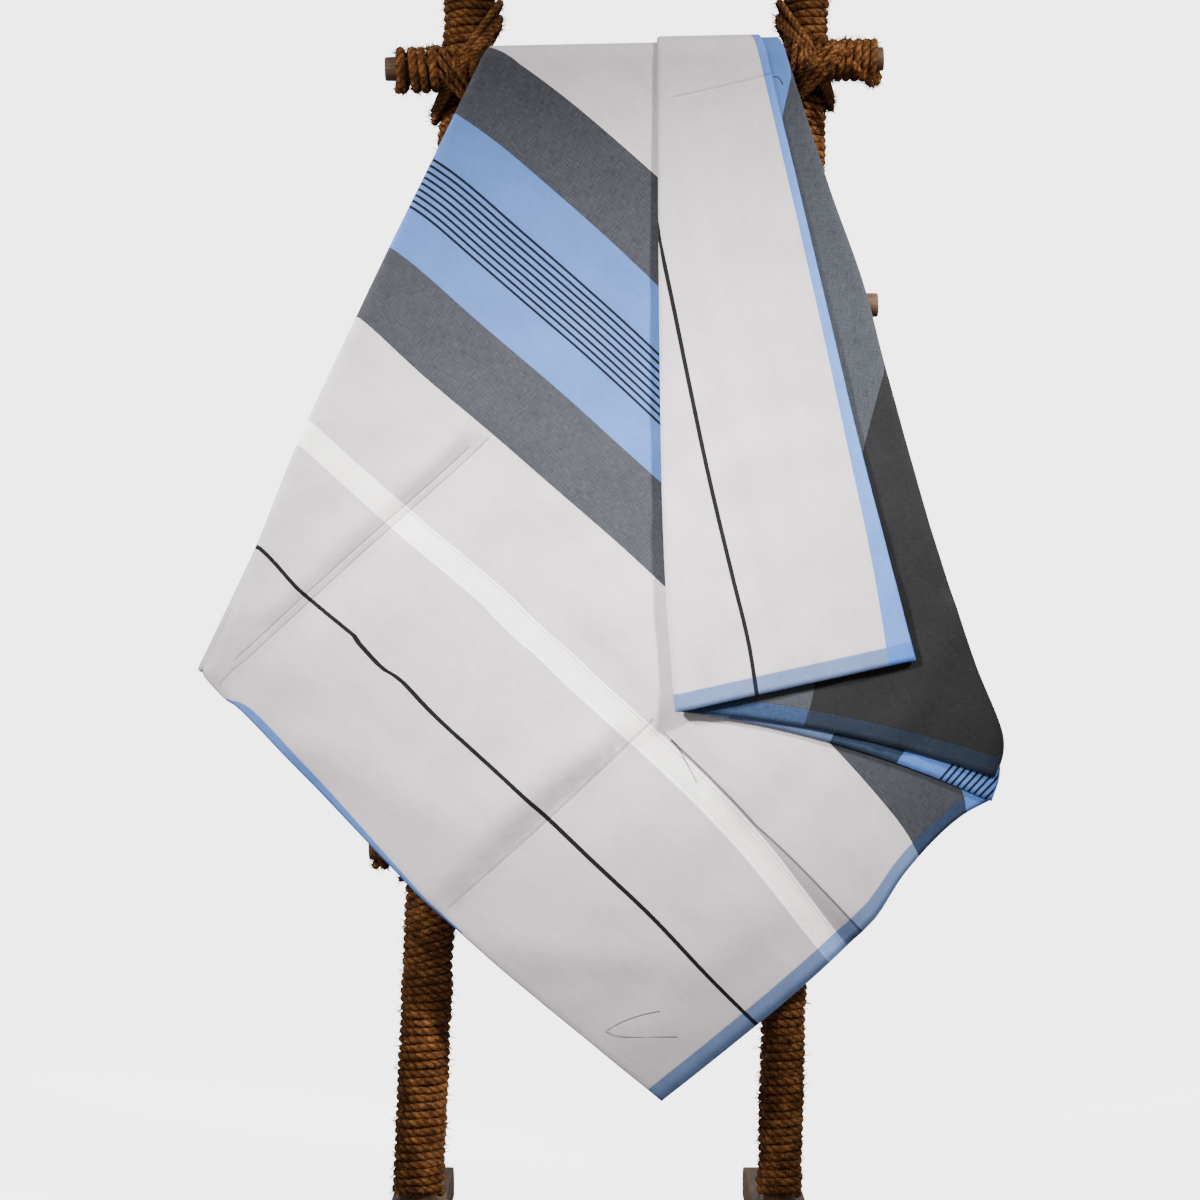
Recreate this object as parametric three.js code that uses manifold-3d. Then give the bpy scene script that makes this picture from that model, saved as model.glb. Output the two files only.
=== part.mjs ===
// A plaid cotton sarong folded in three and hung over the top rung of a rope-lashed wooden rack.
// Millimetres, +Z up, +X to the right of the front view, +Y away from the viewer, origin on the floor.

import * as THREE from 'three';
import { mergeVertices } from 'three/addons/utils/BufferGeometryUtils.js';
import Module from 'manifold-3d';

const wasm = await Module();
wasm.setup();

// The rack: two leaning posts on feet, four rungs lashed to the front of the posts. A rung reaches
// past a post by its overhang, the lowest rung by less on the left.
const RACK_TALL = 1310;
const FOOT = { wide: 56, deep: 420, tall: 34, chamfer: 12 };
const SEAT_GAP = 0.31;
const POSTS = [
  { name: 'left', foot: -186.8, lean: 0.0434, core: 20, roped: 27, outward: -1, overhang: 81, lowest: 63 },
  { name: 'right', foot: 183.2, lean: 0.023, core: 17, roped: 23.5, outward: 1, overhang: 77, lowest: 77 },
];

// Rope turns on each rung's ends: how many, and the bare wood left outside them
const END_TURNS = {
  left: { lowest: { count: 2, bare: 3 }, lower: { count: 4, bare: 9 }, top: { count: 5, bare: 9 } },
  right: { lowest: { count: 4, bare: 12 }, lower: { count: 4, bare: 12 }, top: { count: 6, bare: 1 } },
};
const POST_FRONT = -27;
const POST_SIDES = 16;
const ROPE_FROM = FOOT.tall + 4;
const ROPE_TO = RACK_TALL - 22;
const SLEEVE = { bands: 12, endHollow: 2, hollow: 0.2, beat: 2.1 };
const RUNG = { radius: 12.5, sides: 16, tilt: 0.0206 };
const RUNG_Y = POST_FRONT - SEAT_GAP - RUNG.radius;
const RUNG_HEIGHTS = [404, 674, 943, 1192];
const TOP_RUNG = RUNG_HEIGHTS.length - 1;
const LASHING = { rope: 3.5, slack: 0.9, steps: 24, sides: 5, directions: 48 };
const TURNS = { pitch: 8.5, groove: 17.2, crest: 20.6, clear: 0.98, sides: 10 };

// Loops of a joint's lashing: slant towards the outside, and height above the rung's axis
const LOWER_LOOPS = [
  { slant: 0.7, up: 0 },
  { slant: -0.7, up: 0 },
];
const TOP_LOOPS = [
  { slant: 1, up: 0 },
  { slant: 1, up: 6 },
];

// The cloth is a sewn tube: laid flat, two layers 1104 across and 1100 from hem to hem
const CLOTH_THICK = 1;

// How far the pile stands off the rung axis, and how far apart its layers lie, down the front
const HANG = [
  { z: 148, clear: 22, pitch: 4.2 },
  { z: 448, clear: 24, pitch: 4 },
  { z: 700, clear: 25, pitch: 3 },
  { z: 1000, clear: 25, pitch: 2.3 },
  { z: 1080, clear: 21.5, pitch: 2 },
  { z: 1140, clear: 18.4, pitch: 1.7 },
  { z: 1192, clear: 16.4, pitch: 1.5 },
];
const BACK_PITCH = 2;

// The rows near the rung take up its tilt, fading downward by this power of their share
const TILT_FADE = 3;

// Place of each part in the pile, counted outward from the rung, for the light and the dark half
const PILE = {
  under: { light: 0, dark: 1 },
  wide: { light: 3, dark: 2 },
  returned: { light: 4, dark: 5 },
  flap: { light: 7, dark: 6 },
};

// Rows run up the front, over the rung and down the back
const ROWS = { front: 16, corner: 7, over: 4, rear: 5 };
const LAST_ROW = ROWS.front + ROWS.over + ROWS.rear;
const COLUMNS = { under: 5, wide: 10, returned: 5, flap: 5, fold: 3 };

// Lines of the cloth down the front, from the hem up: share of the way up, and place
const SIDE_FOLD = [
  { at: 0, x: 62, z: 148 },
  { at: 0.44, x: -150, z: 325 },
  { at: 0.86, x: -361, z: 541 },
  { at: 0.95, x: -388, z: 560 },
  { at: 1, x: -403, z: 582 },
];
const BIAS_FOLD = [
  { at: 0, x: -403, z: 582 },
  { at: 0.2, x: -345, z: 705 },
  { at: 0.37, x: -304, z: 807 },
  { at: 0.58, x: -245, z: 935 },
  { at: 0.7, x: -211, z: 1007 },
  { at: 0.86, x: -167, z: 1098 },
  { at: 1, x: -122, z: 1192 },
];
const MID_LINE = [
  { at: 0, x: 241, z: 299 },
  { at: 0.2, x: 137, z: 456 },
  { at: 0.44, x: 63, z: 690 },
  { at: 0.6, x: 60, z: 825 },
  { at: 0.75, x: 60, z: 970 },
  { at: 0.88, x: 58, z: 1083 },
  { at: 1, x: 57, z: 1192 },
];
const FOLD_ONE = [
  { at: 0, x: 396, z: 448 },
  { at: 0.035, x: 404, z: 474 },
  { at: 0.07, x: 402, z: 500 },
  { at: 0.17, x: 376, z: 572 },
  { at: 0.35, x: 335, z: 707 },
  { at: 0.59, x: 285, z: 885 },
  { at: 0.69, x: 264, z: 965 },
  { at: 0.83, x: 231, z: 1058 },
  { at: 1, x: 188, z: 1192 },
];
const FOLD_TWO = [
  { at: 0, x: 75, z: 538 },
  { at: 0.08, x: 71, z: 590 },
  { at: 0.19, x: 66, z: 660 },
  { at: 0.36, x: 62, z: 770 },
  { at: 0.7, x: 59, z: 993 },
  { at: 1, x: 58, z: 1192 },
];
const FREE_SIDE = [
  { at: 0, x: 315, z: 590 },
  { at: 0.17, x: 289, z: 690 },
  { at: 0.34, x: 263, z: 790 },
  { at: 0.59, x: 227, z: 940 },
  { at: 0.92, x: 180, z: 1140 },
  { at: 1, x: 168, z: 1192 },
];

// Top hem, on the part turned under: the side fold mirrored in the bias fold, then the hem itself
const UNDER_HEM = [
  { at: 0, x: 60, z: 526 },
  { at: 1, x: 136, z: 1192 },
];

// The same lines behind the rung: where each leaves it, and where each ends at the tube's far side
const BACK = {
  bias: { topX: -96, endX: 22, endZ: 838 },
  mid: { topX: 52, endX: 52, endZ: 812 },
  one: { topX: 170, endX: 82, endZ: 796 },
  two: { topX: 58, endX: 52, endZ: 786 },
  free: { topX: 150, endX: 80, endZ: 778 },
  underHem: { topX: 132, endX: 118, endZ: 826 },
};

// Lift of the front hem above its smooth run between the tuck's end and the first fold
const HEM_LIFT = [
  { at: 0, lift: 0 },
  { at: 0.6, lift: 0 },
  { at: 0.7, lift: 16 },
  { at: 0.8, lift: 20 },
  { at: 0.9, lift: 15 },
  { at: 1, lift: 0 },
];
const HEM_LIFT_ROWS = 5;

// Rise of the hem round the first fold: the dark half's everywhere, the light half's in mid-run
const FOLD_RISE = { dark: 25, darkMiddle: 11, lightMiddle: 13, rows: 6 };

// A value of a table between its rows, on a smooth curve through them
function readTable(rows, at, column, key = 'at') {
  const last = rows.length - 1;
  let row = 0;
  while (row < last - 1 && at > rows[row + 1][key]) row += 1;
  const slope = (index) => {
    const before = rows[Math.max(index - 1, 0)];
    const after = rows[Math.min(index + 1, last)];
    return (after[column] - before[column]) / (after[key] - before[key]);
  };
  const span = rows[row + 1][key] - rows[row][key];
  const t = THREE.MathUtils.clamp((at - rows[row][key]) / span, 0, 1);
  const rise = rows[row + 1][column] - rows[row][column];
  const startSlope = slope(row) * span;
  const endSlope = slope(row + 1) * span;
  const bend = t * (1 - t) * ((startSlope - rise) * (1 - t) + (rise - endSlope) * t);
  return rows[row][column] + rise * t + bend;
}

function pointOn(rows, at) {
  return {
    x: readTable(rows, at, 'x'),
    z: readTable(rows, at, 'z'),
  };
}

const rungAxisZ = (height, x) => height + RUNG.tilt * x;
const topRungZ = (x) => rungAxisZ(RUNG_HEIGHTS[TOP_RUNG], x);

// One line of the cloth at a row: on its own table in front, across the rung, and down the back
function lineAt(line, row) {
  const top = pointOn(line.front, 1);
  if (row <= ROWS.front) {
    const at = (row / ROWS.front - line.from) / (1 - line.from);
    return pointOn(line.front, at);
  }
  const overShare = Math.min((row - ROWS.front) / ROWS.over, 1);
  const rearShare = Math.max((row - ROWS.front - ROWS.over) / ROWS.rear, 0);
  const overX = THREE.MathUtils.lerp(top.x, line.back.topX, overShare);
  return {
    x: THREE.MathUtils.lerp(overX, line.back.endX, rearShare),
    z: THREE.MathUtils.lerp(top.z, line.back.endZ, rearShare),
  };
}

// How far a line's outermost layer stands out from the layers' ends, in steps of the pile
const REACH = { flat: 0, layer: 0.5, fold: 1.5 };
const CORNER_SHARE = ROWS.corner / ROWS.front;
const LINES = {
  side: { front: SIDE_FOLD, from: 0, back: BACK.bias, reach: REACH.layer, outward: -1 },
  bias: { front: BIAS_FOLD, from: CORNER_SHARE, back: BACK.bias, reach: REACH.fold, outward: -1 },
  mid: { front: MID_LINE, from: 0, back: BACK.mid, reach: REACH.flat, outward: 1 },
  one: { front: FOLD_ONE, from: 0, back: BACK.one, reach: REACH.fold, outward: 1 },
  two: { front: FOLD_TWO, from: 0, back: BACK.two, reach: REACH.fold, outward: -1 },
  free: { front: FREE_SIDE, from: 0, back: BACK.free, reach: REACH.layer, outward: 1 },
  underHem: { front: UNDER_HEM, from: CORNER_SHARE, back: BACK.underHem, reach: REACH.flat, outward: 1 },
};

// The left edge is the tube's own side up to the corner, then the bias fold
function leftLine(row) {
  if (row > ROWS.corner) return lineAt(LINES.bias, row);
  return pointOn(SIDE_FOLD, row / ROWS.corner);
}

// Unit direction that points out of the pile, square to a line in the plane of the front
function outwardOf(read, row, sign) {
  if (row > ROWS.front) return { x: sign, z: 0 };
  const below = read(Math.max(row - 1, 0));
  const above = read(Math.min(row + 1, ROWS.front));
  const run = { x: above.x - below.x, z: above.z - below.z };
  const length = Math.hypot(run.x, run.z);
  return { x: sign * run.z / length, z: -sign * run.x / length };
}

function pitchAt(row, z) {
  if (row > ROWS.front + ROWS.over) return BACK_PITCH;
  return readTable(HANG, z, 'pitch', 'z');
}

// A point of the pile in space: row, place in the plane of the front, and place in the pile
function place(row, x, z, deep) {
  const top = HANG[HANG.length - 1];
  if (row <= ROWS.front) {
    const radius = readTable(HANG, z, 'clear', 'z') + deep * readTable(HANG, z, 'pitch', 'z');
    const follow = (row / ROWS.front) ** TILT_FADE;
    return new THREE.Vector3(x, RUNG_Y - radius, z + RUNG.tilt * x * follow);
  }
  const turn = Math.min((row - ROWS.front) / ROWS.over, 1);
  const drop = Math.max((row - ROWS.front - ROWS.over) / ROWS.rear, 0);
  const pitch = THREE.MathUtils.lerp(top.pitch, BACK_PITCH, drop);
  const radius = top.clear + deep * pitch;
  const angle = Math.PI * turn;
  const height = drop > 0 ? z + RUNG.tilt * x : topRungZ(x) + radius * Math.sin(angle);
  return new THREE.Vector3(x, RUNG_Y - radius * Math.cos(angle), height);
}

// Panels of the cloth from the turned-under hem to the free side, each between two lines
const PANELS = [
  { name: 'under', from: 'underHem', to: 'bias', columns: COLUMNS.under },
  { name: 'wide', from: 'left', via: 'mid', to: 'one', columns: COLUMNS.wide },
  { name: 'returned', from: 'one', to: 'two', columns: COLUMNS.returned },
  { name: 'flap', from: 'two', to: 'free', columns: COLUMNS.flap },
];

const lineReader = (name) => (name === 'left' ? leftLine : (row) => lineAt(LINES[name], row));
const lineTraits = (name, row) => LINES[name === 'left' ? (row < ROWS.corner ? 'side' : 'bias') : name];

// End of a panel at a row, drawn in from its line so that the fold's outermost layer meets the line
function panelEnd(name, row) {
  const read = lineReader(name);
  const traits = lineTraits(name, row);
  const point = read(row);
  const out = outwardOf(read, row, traits.outward);
  const inset = traits.reach * pitchAt(row, point.z);
  return { ...point, x: point.x - out.x * inset, z: point.z - out.z * inset, out };
}

// Smooth curve through the ends and, where there is one, the middle line
function between(start, middle, end, share) {
  const mix = (key) => {
    if (!middle) return THREE.MathUtils.lerp(start[key], end[key], share);
    const early = 2 * (share - 0.5) * (share - 1) * start[key];
    const late = 2 * share * (share - 0.5) * end[key];
    return early + 4 * share * (1 - share) * middle[key] + late;
  };
  return { x: mix('x'), z: mix('z') };
}

// How much higher a half's hem lies than the straight run, at a share of the way across a panel
function hemRise(half, name, share, row) {
  const fade = Math.max(1 - row / FOLD_RISE.rows, 0);
  if (half === 'dark') {
    const closeness = { wide: share, returned: 1 - share }[name] ?? 0;
    const bow = name === 'returned' ? FOLD_RISE.darkMiddle * 4 * share * (1 - share) : 0;
    return (FOLD_RISE.dark * closeness + bow) * fade;
  }
  if (name === 'wide') return readTable(HEM_LIFT, share, 'lift') * Math.max(1 - row / HEM_LIFT_ROWS, 0);
  if (name === 'returned') return FOLD_RISE.lightMiddle * 4 * share * (1 - share) * fade;
  return 0;
}

// Nodes of one half at a row, left to right along the zigzag, with gaps where the half has no cloth
function rowOfHalf(half, row) {
  const nodes = [];
  PANELS.forEach((panel, index) => {
    const missing = panel.name === 'under' && row < ROWS.corner;
    const deep = PILE[panel.name][half];
    const start = panelEnd(panel.from, row);
    const middle = panel.via && panelEnd(panel.via, row);
    const end = panelEnd(panel.to, row);
    for (let column = 0; column <= panel.columns; column += 1) {
      const share = column / panel.columns;
      const spot = between(start, middle, end, share);
      const rise = hemRise(half, panel.name, share, row);
      nodes.push(missing ? null : place(row, spot.x, spot.z + rise, deep));
    }
    const next = PANELS[index + 1];
    if (!next) return;
    const nextDeep = PILE[next.name][half];
    const rise = hemRise(half, panel.name, 1, row);
    const halfStep = (nextDeep - deep) / 2;
    for (let step = 1; step < COLUMNS.fold; step += 1) {
      const angle = Math.PI * (step / COLUMNS.fold - 0.5);
      const out = Math.abs(halfStep) * pitchAt(row, end.z) * Math.cos(angle);
      const level = deep + halfStep * (1 + Math.sin(angle));
      nodes.push(missing ? null : place(row, end.x + end.out.x * out, end.z + end.out.z * out + rise, level));
    }
  });
  return nodes;
}

// Columns between the two halves where the tube turns from one to the other
function sideStrip(light, dark, outward) {
  const steps = [];
  for (let step = 1; step < COLUMNS.fold; step += 1) {
    const angle = Math.PI * (step / COLUMNS.fold - 0.5);
    const middle = light.clone().add(dark).multiplyScalar(0.5);
    const radius = light.distanceTo(dark) / 2;
    const swing = dark.clone().sub(light).multiplyScalar(0.5 * Math.sin(angle));
    steps.push(middle.add(swing).addScaledVector(outward, radius * Math.cos(angle)));
  }
  return steps;
}

// The middle surface of the whole tube as points and triangles
function middleSurface() {
  const points = [];
  const triangles = [];
  const add = (point) => {
    if (!point) return -1;
    points.push(point);
    return points.length - 1;
  };
  const quad = (a, b, c, d) => {
    if (Math.min(a, b, c, d) < 0) return;
    triangles.push(a, b, c, a, c, d);
  };
  const halves = {};
  for (const half of ['light', 'dark']) {
    const grid = [];
    for (let row = 0; row <= LAST_ROW; row += 1) grid.push(rowOfHalf(half, row).map(add));
    halves[half] = grid;
  }
  for (let row = 0; row < LAST_ROW; row += 1) {
    for (let column = 0; column + 1 < halves.light[row].length; column += 1) {
      const { light, dark } = halves;
      quad(light[row][column], light[row][column + 1], light[row + 1][column + 1], light[row + 1][column]);
      quad(dark[row][column], dark[row + 1][column], dark[row + 1][column + 1], dark[row][column + 1]);
    }
  }

  // Join the halves along a path of places, each {row, column, outward}
  const join = (path, flip) => {
    const strips = path.map(({ row, column, outward }) => {
      const light = halves.light[row][column];
      const dark = halves.dark[row][column];
      const turned = sideStrip(points[light], points[dark], outward).map(add);
      return [light, ...turned, dark];
    });
    for (let index = 0; index + 1 < strips.length; index += 1) {
      const [here, next] = [strips[index], strips[index + 1]];
      for (let step = 0; step < COLUMNS.fold; step += 1) {
        const corners = [here[step], here[step + 1], next[step + 1], next[step]];
        if (flip) corners.reverse();
        quad(...corners);
      }
    }
  };

  const downward = new THREE.Vector3(0, 0, -1);
  const firstWide = COLUMNS.under + COLUMNS.fold;
  const lastColumn = halves.light[0].length - 1;
  const sidePath = [];
  for (let row = 0; row <= ROWS.corner; row += 1) {
    const out = outwardOf(leftLine, Math.min(row, ROWS.corner - 2), -1);
    sidePath.push({ row, column: firstWide, outward: new THREE.Vector3(out.x, 0, out.z) });
  }
  for (let column = firstWide - 1; column >= 0; column -= 1) {
    sidePath.push({ row: ROWS.corner, column, outward: downward });
  }
  join(sidePath, true);

  const freePath = [];
  for (let row = 0; row < LAST_ROW; row += 1) {
    const out = outwardOf(lineReader('free'), row, 1);
    freePath.push({ row, column: lastColumn, outward: new THREE.Vector3(out.x, 0, out.z) });
  }
  for (let column = lastColumn; column >= 0; column -= 1) {
    freePath.push({ row: LAST_ROW, column, outward: downward });
  }
  join(freePath, false);
  return { points, triangles };
}

// The cloth's solid: its middle surface moved half a thickness to each side, closed along the hems
function clothGeometry() {
  const { points, triangles } = middleSurface();
  const middle = new THREE.BufferGeometry().setFromPoints(points);
  middle.setIndex(triangles);
  middle.computeVertexNormals();
  const normals = middle.getAttribute('normal');
  const positions = [];
  for (const side of [0.5, -0.5]) {
    points.forEach((point, index) => {
      const normal = new THREE.Vector3().fromBufferAttribute(normals, index);
      const moved = point.clone().addScaledVector(normal, side * CLOTH_THICK);
      positions.push(moved.x, moved.y, moved.z);
    });
  }
  const offset = points.length;
  const index = [...triangles];
  const open = new Map();
  for (let corner = 0; corner < triangles.length; corner += 3) {
    const face = triangles.slice(corner, corner + 3);
    index.push(face[0] + offset, face[2] + offset, face[1] + offset);
    face.forEach((start, turn) => {
      const end = face[(turn + 1) % 3];
      if (!open.delete(`${end},${start}`)) open.set(`${start},${end}`, [start, end]);
    });
  }
  for (const [start, end] of open.values()) {
    index.push(end, start, start + offset, end, start + offset, end + offset);
  }
  const geometry = new THREE.BufferGeometry();
  geometry.setAttribute('position', new THREE.Float32BufferAttribute(positions, 3));
  geometry.setIndex(index);
  geometry.computeVertexNormals();
  return geometry;
}

// Bare positions with shared corners, as the solid operations and the closed bodies need
function welded(geometry) {
  geometry.deleteAttribute('normal');
  geometry.deleteAttribute('uv');
  return mergeVertices(geometry, 1e-3);
}

function toSolid(geometry) {
  const closed = welded(geometry);
  return new wasm.Manifold(new wasm.Mesh({
    numProp: 3,
    vertProperties: new Float32Array(closed.getAttribute('position').array),
    triVerts: new Uint32Array(closed.index.array),
  }));
}

function fromSolid(solid) {
  const mesh = solid.getMesh();
  const geometry = new THREE.BufferGeometry();
  geometry.setAttribute('position', new THREE.BufferAttribute(mesh.vertProperties, 3));
  geometry.setIndex(new THREE.BufferAttribute(mesh.triVerts, 1));
  geometry.computeVertexNormals();
  return geometry;
}

// Upright pieces lean sideways by a shear, so their ends stay level
function leaned(geometry, post, base) {
  const shear = new THREE.Matrix4().makeShear(0, 0, 0, 0, post.lean, 0);
  geometry.applyMatrix4(shear);
  geometry.translate(post.foot + post.lean * (base - FOOT.tall), post.y, base);
  return geometry;
}

const postX = (post, z) => post.foot + post.lean * (z - FOOT.tall);

function postCore(post) {
  const base = FOOT.tall + SEAT_GAP;
  const tall = RACK_TALL - base;
  const pole = new THREE.CylinderGeometry(post.core, post.core, tall, POST_SIDES);
  pole.rotateX(Math.PI / 2);
  pole.translate(0, 0, tall / 2);
  return leaned(pole, post, base);
}

// Rope wound closely round a post, as a sleeve whose outside swells a little here and there
function ropeSleeve(post) {
  const tall = ROPE_TO - ROPE_FROM;
  const inside = post.core + SEAT_GAP;
  const profile = [new THREE.Vector2(inside, 0)];
  for (let band = 0; band <= SLEEVE.bands; band += 1) {
    const atEnd = band === 0 || band === SLEEVE.bands;
    const hollow = atEnd ? SLEEVE.endHollow : SLEEVE.hollow * (1 - Math.cos(band * SLEEVE.beat));
    profile.push(new THREE.Vector2(post.roped - hollow, (tall * band) / SLEEVE.bands));
  }
  profile.push(new THREE.Vector2(inside, tall));
  profile.push(profile[0].clone());
  const sleeve = new THREE.LatheGeometry(profile, POST_SIDES);
  sleeve.rotateX(Math.PI / 2);
  return leaned(sleeve, post, ROPE_FROM);
}

function footBlock(post) {
  const half = FOOT.deep / 2;
  const side = new THREE.Shape();
  side.moveTo(-half, 0);
  side.lineTo(half, 0);
  side.lineTo(half, FOOT.tall - FOOT.chamfer);
  side.lineTo(half - FOOT.chamfer, FOOT.tall);
  side.lineTo(-half + FOOT.chamfer, FOOT.tall);
  side.lineTo(-half, FOOT.tall - FOOT.chamfer);
  side.closePath();
  const block = new THREE.ExtrudeGeometry(side, { depth: FOOT.wide, bevelEnabled: false });
  block.rotateX(Math.PI / 2);
  block.rotateZ(Math.PI / 2);
  block.translate(post.foot - FOOT.wide / 2, 0, 0);
  return block;
}

const overhangAt = (post, height) => (height === RUNG_HEIGHTS[0] ? post.lowest : post.overhang);

function rungRod(height) {
  const [left, right] = POSTS;
  const start = postX(left, height) - overhangAt(left, height);
  const end = postX(right, height) + overhangAt(right, height);
  const rod = new THREE.CylinderGeometry(RUNG.radius, RUNG.radius, end - start, RUNG.sides);
  rod.rotateZ(Math.PI / 2);
  rod.rotateY(-Math.atan(RUNG.tilt));
  const middle = (start + end) / 2;
  rod.translate(middle, RUNG_Y, rungAxisZ(height, middle));
  return rod;
}

// Path of a rope in a slanted plane, taut round the back of a post and the front of a rung
function tautPath(post, slant, up) {
  const off = LASHING.rope + LASHING.slack;
  const postRound = { wide: (post.roped + off) / Math.cos(slant), deep: post.roped + off, x: 0, y: 0 };
  const rungRound = {
    wide: (RUNG.radius + off) / Math.abs(Math.sin(slant)),
    deep: RUNG.radius + off,
    x: up / Math.sin(slant),
    y: RUNG_Y - post.y,
  };
  const spots = [];
  for (let index = 0; index < LASHING.directions; index += 1) {
    const turn = (2 * Math.PI * index) / LASHING.directions;
    const touches = [postRound, rungRound].map(({ wide, deep, x, y }) => {
      const span = Math.hypot(wide * Math.cos(turn), deep * Math.sin(turn));
      const along = x + (wide ** 2 * Math.cos(turn)) / span;
      const back = y + (deep ** 2 * Math.sin(turn)) / span;
      const reach = span + x * Math.cos(turn) + y * Math.sin(turn);
      return { reach, spot: new THREE.Vector3(along, back, 0) };
    });
    touches.sort((first, second) => second.reach - first.reach);
    spots.push(touches[0].spot);
  }
  return new THREE.CatmullRomCurve3(spots, true);
}

// One loop of rope along its path, leaning with its post and its rung
function ropeLoop(post, slant, up) {
  const path = tautPath(post, slant, up);
  const loop = new THREE.TorusGeometry(1, LASHING.rope, LASHING.sides, LASHING.steps);
  const spots = loop.getAttribute('position');
  for (let index = 0; index < spots.count; index += 1) {
    const step = (index % (LASHING.steps + 1)) % LASHING.steps;
    const ring = Math.floor(index / (LASHING.steps + 1)) % LASHING.sides;
    const centre = path.getPointAt(step / LASHING.steps);
    const tangent = path.getTangentAt(step / LASHING.steps);
    const around = (2 * Math.PI * ring) / LASHING.sides;
    const out = LASHING.rope * Math.cos(around);
    const side = LASHING.rope * Math.sin(around);
    spots.setXYZ(index, centre.x + tangent.y * out, centre.y - tangent.x * out, side);
  }
  loop.rotateY(slant);
  loop.translate(0, 0, up);
  loop.applyMatrix4(new THREE.Matrix4().makeShear(0, RUNG.tilt, 0, 0, post.lean, 0));
  return loop;
}

// The loops of one joint; at the top rung they pass above the cloth's corner
function crossLashing(post, height) {
  const isTop = height === RUNG_HEIGHTS[TOP_RUNG];
  const loops = (isTop ? TOP_LOOPS : LOWER_LOOPS).map(({ slant, up }) => (
    toSolid(ropeLoop(post, post.outward * slant, up))
  ));
  const geometry = fromSolid(loops.reduce((joined, loop) => joined.add(loop)));
  const x = postX(post, height);
  geometry.translate(x, post.y, rungAxisZ(height, x));
  return geometry;
}

// Rope turns round the rung outside a post, as one ridged collar
function rungTurns(post, height) {
  const level = { [RUNG_HEIGHTS[0]]: 'lowest', [RUNG_HEIGHTS[TOP_RUNG]]: 'top' }[height] ?? 'lower';
  const { count, bare } = END_TURNS[post.name][level];
  const length = count * TURNS.pitch;
  const inside = RUNG.radius + TURNS.clear;
  const profile = [new THREE.Vector2(inside, 0)];
  for (let turn = 0; turn < count; turn += 1) {
    profile.push(new THREE.Vector2(TURNS.groove, turn * TURNS.pitch));
    profile.push(new THREE.Vector2(TURNS.crest, (turn + 0.5) * TURNS.pitch));
  }
  profile.push(new THREE.Vector2(TURNS.groove, length));
  profile.push(new THREE.Vector2(inside, length));
  profile.push(profile[0].clone());
  const collar = new THREE.LatheGeometry(profile, TURNS.sides);
  collar.rotateZ(-Math.PI / 2);
  collar.rotateY(-Math.atan(RUNG.tilt));
  const outerEnd = postX(post, height) + post.outward * (overhangAt(post, height) - bare);
  const x = post.outward < 0 ? outerEnd : outerEnd - length;
  collar.translate(x, RUNG_Y, rungAxisZ(height, x));
  return collar;
}

const COTTON = new THREE.MeshStandardMaterial({ color: 0xd6d0d1, roughness: 0.9, metalness: 0 });
const COIR = new THREE.MeshStandardMaterial({ color: 0x5b3a1e, roughness: 0.95, metalness: 0 });
const WOOD = new THREE.MeshStandardMaterial({ color: 0x7a5538, roughness: 0.7, metalness: 0 });

const rack = new THREE.Group();

function addPiece(name, geometry, material) {
  const piece = new THREE.Mesh(welded(geometry), material);
  piece.name = name;
  rack.add(piece);
}

for (const post of POSTS) {
  post.y = POST_FRONT + post.roped;
  addPiece(`foot_${post.name}`, footBlock(post), WOOD);
  addPiece(`post_${post.name}`, postCore(post), WOOD);
  addPiece(`post_rope_${post.name}`, ropeSleeve(post), COIR);
}

RUNG_HEIGHTS.forEach((height, index) => {
  addPiece(`rung_${index + 1}`, rungRod(height), WOOD);
  for (const post of POSTS) {
    addPiece(`lashing_${index + 1}_${post.name}`, crossLashing(post, height), COIR);
    addPiece(`rung_rope_${index + 1}_${post.name}`, rungTurns(post, height), COIR);
  }
});

addPiece('sarong', clothGeometry(), COTTON);

export default rack;
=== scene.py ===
"""Dresses the sarong and its rope-lashed rack: woven cloth, coir rope and bare wood."""

import functools
import math
import random

import bmesh
import bpy
from mathutils import Matrix, Vector, noise


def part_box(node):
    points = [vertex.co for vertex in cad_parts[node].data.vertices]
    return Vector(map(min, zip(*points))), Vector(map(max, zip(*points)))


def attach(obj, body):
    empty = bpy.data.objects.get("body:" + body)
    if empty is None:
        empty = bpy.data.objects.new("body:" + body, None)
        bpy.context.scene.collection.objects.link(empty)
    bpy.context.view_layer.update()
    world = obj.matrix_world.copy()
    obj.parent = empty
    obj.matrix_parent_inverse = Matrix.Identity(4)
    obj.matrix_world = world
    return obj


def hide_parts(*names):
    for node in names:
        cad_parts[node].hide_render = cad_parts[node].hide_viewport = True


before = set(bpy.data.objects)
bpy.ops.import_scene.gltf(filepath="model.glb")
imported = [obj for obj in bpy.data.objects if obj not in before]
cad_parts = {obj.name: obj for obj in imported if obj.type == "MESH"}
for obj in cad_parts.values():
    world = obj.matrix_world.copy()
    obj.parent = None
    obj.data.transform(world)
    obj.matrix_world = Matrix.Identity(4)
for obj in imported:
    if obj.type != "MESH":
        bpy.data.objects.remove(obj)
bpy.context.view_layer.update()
MM = 0.001

# Points of a piece that lie closer than this become one, in millimetres
SEAM = 0.001


def table(columns, *rows):
    """Rows of values under named columns."""
    return [dict(zip(columns.split(), row)) for row in rows]


def named_table(columns, **rows):
    """The same, with a name for each row."""
    return dict(zip(rows, table(columns, *rows.values())))


# The rack, in millimetres
FLOOR_TO_POST = 34
RACK_TALL = 1310
RUNG_RADIUS = 12.5
RUNG_Y = -39.81
RUNG_TILT = 0.0206
RUNG_HEIGHTS = [404, 674, 943, 1192]

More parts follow.
